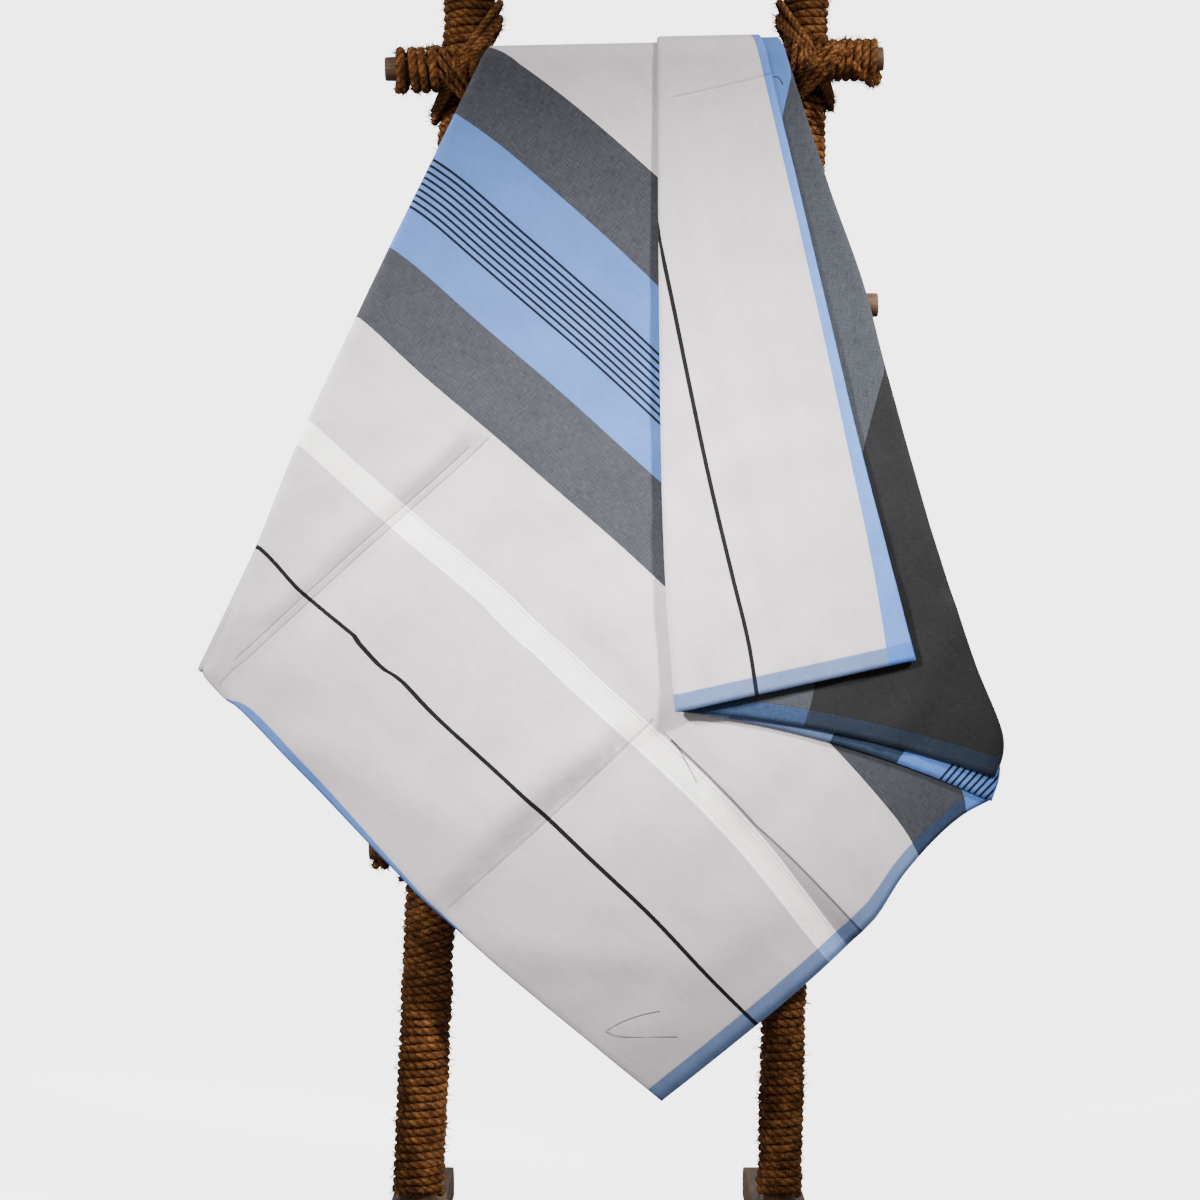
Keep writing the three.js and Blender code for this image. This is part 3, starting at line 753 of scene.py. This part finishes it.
def finished(name, mesh, material, smooth=True, closed=True):
    """A piece of the scene from a mesh under construction, its seams closed and its faces outward."""
    if closed:
        bmesh.ops.remove_doubles(mesh, verts=mesh.verts, dist=SEAM * MM)
        bmesh.ops.recalc_face_normals(mesh, faces=mesh.faces)
    data = bpy.data.meshes.new(name)
    mesh.to_mesh(data)
    mesh.free()
    data.materials.append(material)
    for face in data.polygons:
        face.use_smooth = smooth
    piece = bpy.data.objects.new(name, data)
    bpy.context.scene.collection.objects.link(piece)
    return piece


def stands_for(piece, slot, *nodes):
    """Puts a finished piece in the place of the plain solids that it dresses."""
    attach(piece, "root")
    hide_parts(*nodes)


def linear(red, green, blue):
    """A colour in the shaders' own numbers, from the 0 to 255 that a picture holds."""
    def channel(value):
        value /= 255
        return value / 12.92 if value <= 0.04045 else ((value + 0.055) / 1.055) ** 2.4

    return channel(red), channel(green), channel(blue), 1


class Amount:
    """What a node gives, so that a finish can be written in sums, products and comparisons."""

    def __init__(self, finish, socket):
        self.finish, self.socket = finish, socket

    def __add__(self, other):
        return self.finish.maths("ADD", self, other)

    def __sub__(self, other):
        return self.finish.maths("SUBTRACT", self, other)

    def __rsub__(self, other):
        return self.finish.maths("SUBTRACT", other, self)

    def __mul__(self, other):
        return self.finish.maths("MULTIPLY", self, other)

    def __truediv__(self, other):
        return self.finish.maths("DIVIDE", self, other)

    def __lt__(self, other):
        return self.finish.maths("LESS_THAN", self, other)

    def __gt__(self, other):
        return self.finish.maths("GREATER_THAN", self, other)


class Finish:
    """A material under construction, its nodes joined as they are made."""

    def __init__(self, name, roughness):
        self.material = bpy.data.materials.new(name)
        self.material.use_nodes = True
        self.tree = self.material.node_tree
        self.shader = self.tree.nodes["Principled BSDF"]
        self.use("Roughness", roughness)

    def join(self, value, socket):
        if isinstance(value, Amount):
            self.tree.links.new(value.socket, socket)
        else:
            socket.default_value = value

    def use(self, name, value):
        self.join(value, self.shader.inputs[name])

    def add(self, kind, *values, output=0, settings=None, **named):
        """A node with its first inputs in order, and others by name."""
        node = self.tree.nodes.new("ShaderNode" + kind)
        for key, value in (settings or {}).items():
            setattr(node, key, value)
        for key, value in [*enumerate(values), *named.items()]:
            self.join(value, node.inputs[key])
        return Amount(self, node.outputs[output])

    def maths(self, operation, *values, clamp=False):
        return self.add("Math", *values, settings={"operation": operation, "use_clamp": clamp})

    def near(self, value, reach):
        """One where a value is nothing, falling to nothing at its reach to either side."""
        return self.maths("SUBTRACT", 1, self.maths("ABSOLUTE", value) / reach, clamp=True)

    def blend(self, share, first, second):
        """A mix of two colours."""
        node = self.tree.nodes.new("ShaderNodeMix")
        node.data_type = "RGBA"
        for index, value in zip((0, 6, 7), (share, first, second)):
            self.join(value, node.inputs[index])
        return Amount(self, node.outputs[2])

    def ramp(self, share, stops, interpolation="CONSTANT"):
        node = self.tree.nodes.new("ShaderNodeValToRGB")
        node.color_ramp.interpolation = interpolation
        elements = node.color_ramp.elements
        while len(elements) < len(stops):
            elements.new(0.5)
        for element, (at, colour) in zip(elements, stops):
            element.position = at
            element.color = colour
        self.join(share, node.inputs[0])
        return Amount(self, node.outputs[0])

    def mark(self):
        """The place that each point of a piece was marked with."""
        return self.add("Attribute", output=1, settings={"attribute_name": "mark"})

    def split(self, vector):
        """The three parts of a vector."""
        return [self.add("SeparateXYZ", vector, output=index) for index in range(3)]

    def clouds(self, mark, scales, detail, roughness=0.5):
        """Soft noise over the marked places, stretched by a scale for each part of the mark."""
        stretched = self.add("VectorMath", mark, scales, settings={"operation": "MULTIPLY"})
        return self.add("TexNoise", Vector=stretched, Scale=1, Detail=detail, Roughness=roughness)

    def grains(self, scale, detail, roughness=0.5):
        """Noise fixed in the piece's own space."""
        place_of = self.add("TexCoord", output=3)
        return self.add("TexNoise", Vector=place_of, Scale=scale, Detail=detail, Roughness=roughness)

    def bump(self, height, strength, depth, **below):
        """The surface's direction, raised by a height of up to a depth in millimetres."""
        return self.add("Bump", Strength=strength, Distance=depth * MM, Height=height, **below)


def inside(value, low, high):
    """One where a value lies between two others, and nothing elsewhere."""
    return (value > low) * (value < high)


# Warp yarns of the cloth, plain and where the blue weft of the narrow hems crosses them
YARNS = table(
    "name plain in_hem",
    ("blue", (84, 118, 182), (64, 102, 178)),
    ("light blue", (75, 107, 164), (74, 108, 174)),
    ("light grey", (192, 182, 184), (94, 112, 148)),
    ("white", (252, 247, 242), (120, 148, 194)),
    ("dark grey", (54, 55, 60), (40, 52, 74)),
    ("grey", (54, 56, 61), (40, 56, 82)),
    ("charcoal", (27, 27, 28), (26, 34, 47)),
    ("black", (17, 16, 18), (14, 17, 30)),
)

# Warp stripes across the flat tube, in millimetres from its side fold
LIGHT_WARP = [
    (0, "blue"), (30, "light grey"), (158.5, "black"), (162, "light grey"), (266, "white"),
    (291, "light grey"), (403, "dark grey"), (481, "light blue"), (623, "dark grey"),
    (698, "light grey"), (809, "white"), (836, "light grey"), (939, "black"), (942.5, "light grey"),
    (1076, "blue"),
]
DARK_WARP = [(0, "blue"), (236, "grey"), (377, "charcoal"), (727, "grey"), (868, "light blue")]
PINSTRIPES = {"start": 526, "end": 581, "pitch": 6.2, "share": 0.4}
TUBE = {"across": 1104, "tall": 1100, "hem": 18}

# The yarns and the cloth's unevenness as soft noise: turns to the metre along the mark, and detail
WEAVE = named_table(
    "scales detail",
    warp_yarn=((1600, 90, 3), 3),
    weft_yarn=((90, 1600, 3), 3),
    mottle=((22, 22, 9), 4),
    bands=((48, 1.5, 3), 2),
    warp_thread=((2600, 300, 5), 1),
    weft_thread=((300, 2600, 5), 1),
    rumple=((26, 13, 5), 4),
)

# How much each thing lightens or darkens the cloth; yarns show more where a colour is deeper than deep.
# The tuck's line and strip and the pressed creases darken it as painted shade
SHADE = {"yarns": 0.4, "deep": 0.1, "yarns_when_deep": 1.0, "mottle": 0.26, "bands": 0.16,
         "painted_tuck_line": 0.9, "painted_tuck_strip": 0.36, "stitch": 0.14, "pressed": 0.12}

# How much each thing raises or lowers the cloth's surface
RELIEF = {"thread": 0.5, "pressed": 3.0, "stitch": 0.8, "hem": 0.8}

# Pressed creases across the cloth, by their height on the flat tube: pressed into the surface, and darkened
# along their middles with painted shade
PRESSED = table(
    "up from to wide",
    (289, 36, 300, 2.6), (609, 36, 400, 2.4), (617, 60, 380, 1.8), (593, 988, 1104, 2),
)
STITCH_WIDE = 0.9

# Fine lines along the white stripe, where its edges are pressed: painted highlights where the lift is above
# nothing, painted shade where it is below
PAINTED_BAND_LINES = table(
    "at wide up_to lift",
    (267.5, 2, 430, 0.3), (290.5, 1.2, 620, -0.4), (286.5, 0.9, 560, -0.2),
)

# The tuck beside the white stripe: its edge across the tube at the hem and where the slant ends, how
# high it reaches, and its dark line and shaded strip, both painted shade for the tuck's shadow
TUCK = {"at_hem": 316, "above": 296, "ends": 150, "highest": 265, "line": 1.9, "strip": 20, "outside": 294}


def pinstripes(finish, across):
    """One on the fine black lines in the light half's blue band, and nothing elsewhere."""
    start, end, pitch = (PINSTRIPES[key] * MM for key in ("start", "end", "pitch"))
    turns = finish.maths("FRACT", (across - start) / pitch)
    return inside(across, start, end) * (turns < PINSTRIPES["share"])


def stripes(finish, across, lines, is_dark, column):
    """Both halves' warp stripes in one column of the yarns."""
    yarn = {row["name"]: linear(*row[column]) for row in YARNS}
    share = across * (1 / (TUBE["across"] * MM))
    light, dark = (
        finish.ramp(share, [(at / TUBE["across"], yarn[name]) for at, name in warp])
        for warp in (LIGHT_WARP, DARK_WARP)
    )
    return finish.blend(is_dark, finish.blend(lines, light, yarn["black"]), dark)


def yarn_shade(finish, mark, colour):
    """Thick and thin yarns both ways, and a soft mottle."""
    warp, weft, mottle, bands = (
        finish.clouds(mark, **WEAVE[name]) for name in ("warp_yarn", "weft_yarn", "mottle", "bands")
    )
    is_deep = finish.add("RGBToBW", colour) < SHADE["deep"]
    contrast = is_deep * SHADE["yarns_when_deep"] + SHADE["yarns"]
    shade = (warp + weft - 1) * contrast + 1
    return shade + (mottle - 0.5) * SHADE["mottle"] + (bands - 0.5) * SHADE["bands"]


def painted_tuck_shade(finish, across, up, is_light):
    """What a painted shade line along the tuck's edge and the painted shadow beside it leave of a shade."""
    slope = (TUCK["at_hem"] - TUCK["above"]) / TUCK["ends"]
    edge = TUCK["at_hem"] * MM - up * slope
    beside = finish.maths("MAXIMUM", edge, TUCK["above"] * MM) - across
    low = (up < TUCK["highest"] * MM) * is_light
    # Painted shade: a dark line along the tuck's edge, and a painted shadow strip beside it
    line = finish.near(beside, TUCK["line"] * MM) * low
    strip = inside(beside, 0, TUCK["strip"] * MM) * low * (across > TUCK["outside"] * MM)
    return (1 - line * SHADE["painted_tuck_line"]) * (1 - strip * SHADE["painted_tuck_strip"])


def painted_band_line(finish, across, up, line):
    """How much one fine line along the white stripe lifts or lowers the shade, as a painted highlight or
    painted shade.
    """
    drawn = finish.near(across - line["at"] * MM, line["wide"] * MM)
    return drawn * inside(up, 0, line["up_to"] * MM) * line["lift"]


def pressed_crease(finish, across, up, crease):
    """One along the middle of a pressed crease, falling to nothing at its sides."""
    along = inside(across, crease["from"] * MM, crease["to"] * MM)
    return finish.near(up - crease["up"] * MM, crease["wide"] * MM) * along


def cotton():
    """Plain-woven cotton: warp stripes, blue hems, thick and thin yarns, pressed creases, and painted shade
    and highlights at the tuck and creases.
    """
    finish = Finish("striped cotton", 0.88)
    mark = finish.mark()
    across, up, half = finish.split(mark)
    is_dark = half > 0.5
    is_light = 1 - is_dark
    near_hem = finish.maths("MINIMUM", up, TUBE["tall"] * MM - up)
    in_hem = near_hem < TUBE["hem"] * MM
    lines = pinstripes(finish, across)
    plain, hemmed = (stripes(finish, across, lines, is_dark, column) for column in ("plain", "in_hem"))
    colour = finish.blend(in_hem, plain, hemmed)

    shade = yarn_shade(finish, mark, colour) * painted_tuck_shade(finish, across, up, is_light)
    # Painted highlights and painted shade along the white stripe's pressed edges
    for line in PAINTED_BAND_LINES:
        shade += painted_band_line(finish, across, up, line) * is_light
    pressed = 0
    for crease in PRESSED:
        pressed = finish.maths("MAXIMUM", pressed, pressed_crease(finish, across, up, crease))
    pressed *= is_light
    stitch = finish.near(near_hem - TUBE["hem"] * MM, STITCH_WIDE * MM)
    # The pressed creases darken the colour here as painted shade in their troughs
    shade *= (1 - stitch * SHADE["stitch"]) * (1 - pressed * SHADE["pressed"])
    scale = {"operation": "SCALE"}
    finish.use("Base Color", finish.add("VectorMath", colour, settings=scale, Scale=shade))

    warp, weft = (finish.clouds(mark, **WEAVE[name]) for name in ("warp_thread", "weft_thread"))
    height = warp * RELIEF["thread"] + weft * RELIEF["thread"] + in_hem * RELIEF["hem"]
    height = height - pressed * RELIEF["pressed"] - stitch * RELIEF["stitch"]
    rumpled = finish.bump(finish.clouds(mark, **WEAVE["rumple"]), 0.7, 2.2)
    finish.use("Normal", finish.bump(height, 0.5, 0.5, Normal=rumpled))
    finish.use("Sheen Weight", 0.06)
    finish.use("Specular IOR Level", 0.15)
    return finish.material


def coir():
    """Coarse coir rope: strands laid round each other, with painted shade in the gaps between them, and
    pale fibres.
    """
    finish = Finish("coir rope", 0.92)
    length, first, second = finish.split(finish.mark())
    turn = finish.maths("ARCTAN2", second, first)
    phase = (turn - length * (2 * math.pi / (ROPE["strand_lay"] * MM))) * (ROPE["strands"] / 2)
    strand_and_gap_shade = finish.maths("ABSOLUTE", finish.maths("COSINE", phase))
    fibre, patch = finish.grains(620, 5, 0.75), finish.grains(70, 3)
    # The strand term darkens the gaps between strands as painted shade; fibres and patches vary at random
    finish.use("Base Color", finish.ramp(strand_and_gap_shade * 0.16 + fibre * 0.98 + patch * 0.5, [
        (0.5, linear(30, 15, 6)), (0.72, linear(66, 37, 16)),
        (0.88, linear(102, 62, 29)), (1, linear(150, 102, 54)),
    ], "LINEAR"))
    finish.use("Normal", finish.bump(strand_and_gap_shade * 0.5 + fibre * 1.4, 0.9, 1.6))
    finish.use("Specular IOR Level", 0.15)
    return finish.material


def bare_wood():
    """Weathered round wood: grain along its length, darker streaks and small pores."""
    finish = Finish("bare wood", 0.72)
    mark = finish.mark()
    grain = finish.clouds(mark, (14, 5, 5), 6, 0.65)
    streak = finish.clouds(mark, (4, 1.4, 1.4), 3)
    tone = grain * 0.6 + streak * 0.4 + (finish.grains(420, 3) - 0.5) * 0.3
    finish.use("Base Color", finish.ramp(tone, [
        (0.3, linear(38, 23, 13)), (0.48, linear(72, 45, 25)),
        (0.62, linear(98, 65, 40)), (0.8, linear(130, 92, 60)),
    ], "LINEAR"))
    finish.use("Normal", finish.bump(tone, 0.5, 0.8))
    return finish.material


def plain_thread(name, colour):
    finish = Finish(name, 0.8)
    finish.use("Base Color", colour)
    return finish.material


# Loose threads that lie on the front of the cloth: how many layers out, and their run from x to z
THREADS = table(
    "name over points",
    ("curled_thread", 3, [(60, 239), (42, 235), (25, 229), (10, 221), (8, 217), (28, 213), (78, 213)]),
    ("dark_thread", 3, [(63, 518), (76, 506), (84, 492), (97, 468)]),
    ("top_thread", 5, [(172, 1174), (177, 1176), (181, 1173), (184, 1168)]),
)
THREAD = {"radius": 0.28, "off": 0.9, "steps": 36, "sides": 5}


def make_sarong():
    """The folded cloth, with its thickness."""
    cloth = finished("sarong_cloth", cloth_mesh(), cotton())
    thickness = cloth.modifiers.new("thickness", "SOLIDIFY")
    thickness.thickness = CLOTH_THICK * MM
    thickness.offset = 0
    stands_for(cloth, "cotton", "sarong")


def make_thread(thread, material):
    """A loose thread along the front of the pile."""
    path = []
    for x, z in thread["points"]:
        off = read_table(HANG, z, "clear", "z") + thread["over"] * read_table(HANG, z, "pitch", "z")
        path.append((x, RUNG_Y - off - ripple(x, z) - THREAD["off"], z))
    mesh = new_mesh()
    laid(mesh, smooth_path(path, THREAD["steps"]), THREAD["radius"], THREAD["sides"])
    piece = finished(thread["name"], mesh, material)
    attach(piece, "root")


def stick_reach(stick, radius, index, last, change):
    """A stick's radius at a stop: worn at its ends, and uneven in between."""
    from_end = min(index, last - index)
    worn = stick["worn"][from_end] if from_end < len(stick["worn"]) else 0
    return radius - stick["thinner"] - worn + stick["uneven"] * wobble(*change)


def make_rung(number, height):
    """A rung: a round stick, a little crooked, with worn ends."""
    stick = STICKS["rung"]
    start = post_x(POSTS["left"], height) - overhang_at(POSTS["left"], height)
    end = post_x(POSTS["right"], height) + overhang_at(POSTS["right"], height)
    inner = [step / stick["steps"] for step in range(1, stick["steps"])]
    places = [0, 0.001, 0.003, *inner, 0.997, 0.999, 1]
    path = []
    for share in places:
        x = mix(start, end, share)
        crook = RUNG_CROOK["off"] * wobble(x / RUNG_CROOK["length"], number, 1)
        path.append(Vector((x, RUNG_Y + crook, height + RUNG_TILT * x + crook)))

    def reach(index):
        return stick_reach(stick, RUNG_RADIUS, index, len(places) - 1, (places[index] * 9, number, 5))

    mesh = new_mesh()
    laid(mesh, path, reach, stick["sides"])
    stands_for(finished(f"rung_{number}_wood", mesh, wood), "wood", f"rung_{number}")


def make_post(side, post):
    """A post: a straight round stick with worn ends, leaning as the rack does."""
    stick = STICKS["post"]
    base = FLOOR_TO_POST + POST_OFF_FOOT
    inner = [mix(base, RACK_TALL, step / stick["steps"]) for step in range(1, stick["steps"])]
    heights = [base, base + 1.5, base + 4, *inner, RACK_TALL - 4, RACK_TALL - 1.5, RACK_TALL]

    def reach(index):
        return stick_reach(stick, post["core"], index, len(heights) - 1, (index / 4, post["foot"], 5))

    mesh = new_mesh()
    laid(mesh, [Vector((post_x(post, z), post["y"], z)) for z in heights], reach, stick["sides"])
    stands_for(finished(f"post_{side}_wood", mesh, wood), "wood", f"post_{side}")


def make_rope_piece(node, ending, paths, radius, hairs, seed, loose_end=False):
    """Ropes along their paths with their stray hairs, and perhaps the loose end."""
    mesh = new_mesh()
    for path in paths:
        laid(mesh, path, radius, ROPE["sides"])
    stray_fibres(mesh, paths, radius, HAIRS[hairs], seed)
    if loose_end:
        tail = smooth_path(LOOSE_END["path"], LOOSE_END["steps"])
        laid(mesh, tail, lambda index: LOOSE_END["radius"] - LOOSE_END["thins"] * index, ROPE["sides"])
        hairy = tail[LOOSE_END["hairs_from"]:]
        stray_fibres(mesh, [hairy], LOOSE_END["hairs_out"], HAIRS["loose_end"], 77)
    stands_for(finished(f"{node}_{ending}", mesh, rope), "coir", node)


def make_joint_ropes(side, post, number, height):
    """The crossed turns that tie a rung to a post, and the turns round the rung's end."""
    is_top = number == len(RUNG_HEIGHTS)
    outward, kind = post["outward"], "top_lashing" if is_top else "lashing"
    ties = [
        lashing_turn(post, height, outward * turn["slant"], turn["up"], turn["off"])
        for turn in (TOP_TURNS if is_top else LOWER_TURNS)
    ]
    if is_top:
        ties += [front_turn(post, height, along) for along in FRONT_TURNS[side]]
    make_rope_piece(f"lashing_{number}_{side}", "rope", ties, LASHING["radius"], kind, number * 5 + outward)
    ends = END_TURNS[side]["top" if is_top else "lowest" if number == 1 else "lower"]
    make_rope_piece(
        f"rung_rope_{number}_{side}", "turns", [round_rung(post, height, ends)], ends["radius"], "collar",
        number * 7 + outward, loose_end=is_top and side == "right")


def make_foot(side):
    """A foot: a plain block with bevelled top ends and eased edges."""
    box_low, box_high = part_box(f"foot_{side}")
    mesh = new_mesh()
    marks = mesh.verts.layers.float_vector["mark"]
    bmesh.ops.create_cube(mesh, size=1)
    for vert in mesh.verts:
        vert.co = [mix(low, high, part + 0.5) for low, high, part in zip(box_low, box_high, vert.co)]
    top_ends = [edge for edge in mesh.edges
                if all(vert.co.z > box_high[2] - MM for vert in edge.verts)
                and abs(edge.verts[0].co.y - edge.verts[1].co.y) < MM]
    for edges, offset, segments in ((top_ends, FOOT["chamfer"], 1), (mesh.edges, FOOT["eased"], 2)):
        bmesh.ops.bevel(mesh, geom=list(edges), offset=offset * MM, affect="EDGES", segments=segments,
                        profile=0.5, material=-1)
    for vert in mesh.verts:
        vert[marks] = (vert.co.y, vert.co.x * FOOT["grain"], vert.co.z * FOOT["grain"])
    stands_for(finished(f"foot_{side}_block", mesh, wood, smooth=False), "wood", f"foot_{side}")


make_sarong()
straw = plain_thread("straw thread", linear(92, 72, 42))
dark = plain_thread("dark thread", linear(24, 21, 20))
for thread, material in zip(THREADS, (straw, dark, dark)):
    make_thread(thread, material)

rope, wood = coir(), bare_wood()
for number, height in enumerate(RUNG_HEIGHTS, 1):
    make_rung(number, height)
for side, post in POSTS.items():
    make_post(side, post)
    winding, seed = round_post(side, post), 11 + post["outward"]
    make_rope_piece(f"post_rope_{side}", "wound", [winding], ROPE["radius"], "post", seed)
    for number, height in enumerate(RUNG_HEIGHTS, 1):
        make_joint_ropes(side, post, number, height)
    make_foot(side)


# Floor and light: a pale floor that is as bright as the studio behind it, and soft lights, aimed from
# and to places in metres, with their width, their spread in degrees and their power in watts
BACKDROP = 4.2
ROOM = 0.52
FLOOR_WHITE = 0.5
LAMPS = table(
    "name from to size spread power",
    ("left", (-2.4, -1.7, 2.2), (-0.02, -0.07, 0.75), 0.36, 17.5, 4.7),
    ("right", (2.0, -1.7, 2.6), (0.08, -0.07, 0.74), 0.32, 18.5, 4.9),
    ("behind", (0.9, 2.6, 2.2), (0, 0, 0.6), 1.6, 120, 9),
)

# Camera: square to the front, its frame 1.2 m high at the cloth
CAMERA = {"lens": 96, "back": 3.28, "height": 0.65}


def seen_strength(tree, seen, unseen):
    """One strength for what the camera sees, and another for what lights the part."""
    rays, strength = tree.nodes.new("ShaderNodeLightPath"), tree.nodes.new("ShaderNodeMath")
    strength.operation = "MULTIPLY_ADD"
    strength.inputs[1].default_value = seen - unseen
    strength.inputs[2].default_value = unseen
    tree.links.new(rays.outputs["Is Camera Ray"], strength.inputs[0])
    return strength.outputs[0]


def studio_floor():
    """Matt floor that takes soft shadows, and looks as bright as the backdrop where none falls."""
    material = bpy.data.materials.new("studio floor")
    material.use_nodes = True
    tree = material.node_tree
    tree.nodes.clear()
    output, total = tree.nodes.new("ShaderNodeOutputMaterial"), tree.nodes.new("ShaderNodeAddShader")
    matt, glow = tree.nodes.new("ShaderNodeBsdfDiffuse"), tree.nodes.new("ShaderNodeEmission")
    matt.inputs["Color"].default_value = (FLOOR_WHITE, FLOOR_WHITE, FLOOR_WHITE, 1)
    tree.links.new(seen_strength(tree, BACKDROP - FLOOR_WHITE * ROOM, 0), glow.inputs["Strength"])
    tree.links.new(matt.outputs[0], total.inputs[0])
    tree.links.new(glow.outputs[0], total.inputs[1])
    tree.links.new(total.outputs[0], output.inputs["Surface"])
    return material


def studio_room():
    """White all round: bright where it is seen, and soft where it lights the part."""
    world = bpy.data.worlds.new("studio")
    world.use_nodes = True
    sky = world.node_tree.nodes["Background"].inputs
    world.node_tree.links.new(seen_strength(world.node_tree, BACKDROP, ROOM), sky["Strength"])
    sky["Color"].default_value = (1, 1, 1, 1)
    return world


def studio_lamp(lamp):
    """A soft square lamp that looks at its target."""
    data = bpy.data.lights.new(lamp["name"], "AREA")
    data.size = lamp["size"]
    data.spread = math.radians(lamp["spread"])
    data.energy = lamp["power"]
    light = bpy.data.objects.new(lamp["name"], data)
    light.location = lamp["from"]
    light.rotation_euler = (Vector(lamp["to"]) - Vector(lamp["from"])).to_track_quat("-Z", "Y").to_euler()
    bpy.context.scene.collection.objects.link(light)


floor_mesh = new_mesh()
bmesh.ops.create_circle(floor_mesh, cap_ends=True, segments=96, radius=6)
finished("studio_floor", floor_mesh, studio_floor(), smooth=False, closed=False)
bpy.context.scene.world = studio_room()
for lamp in LAMPS:
    studio_lamp(lamp)

view = bpy.data.cameras.new("front")
view.lens = CAMERA["lens"]
camera = bpy.data.objects.new("front", view)
camera.location = (0, -CAMERA["back"], CAMERA["height"])
camera.rotation_euler = (math.pi / 2, 0, 0)
bpy.context.scene.collection.objects.link(camera)
bpy.context.scene.camera = camera
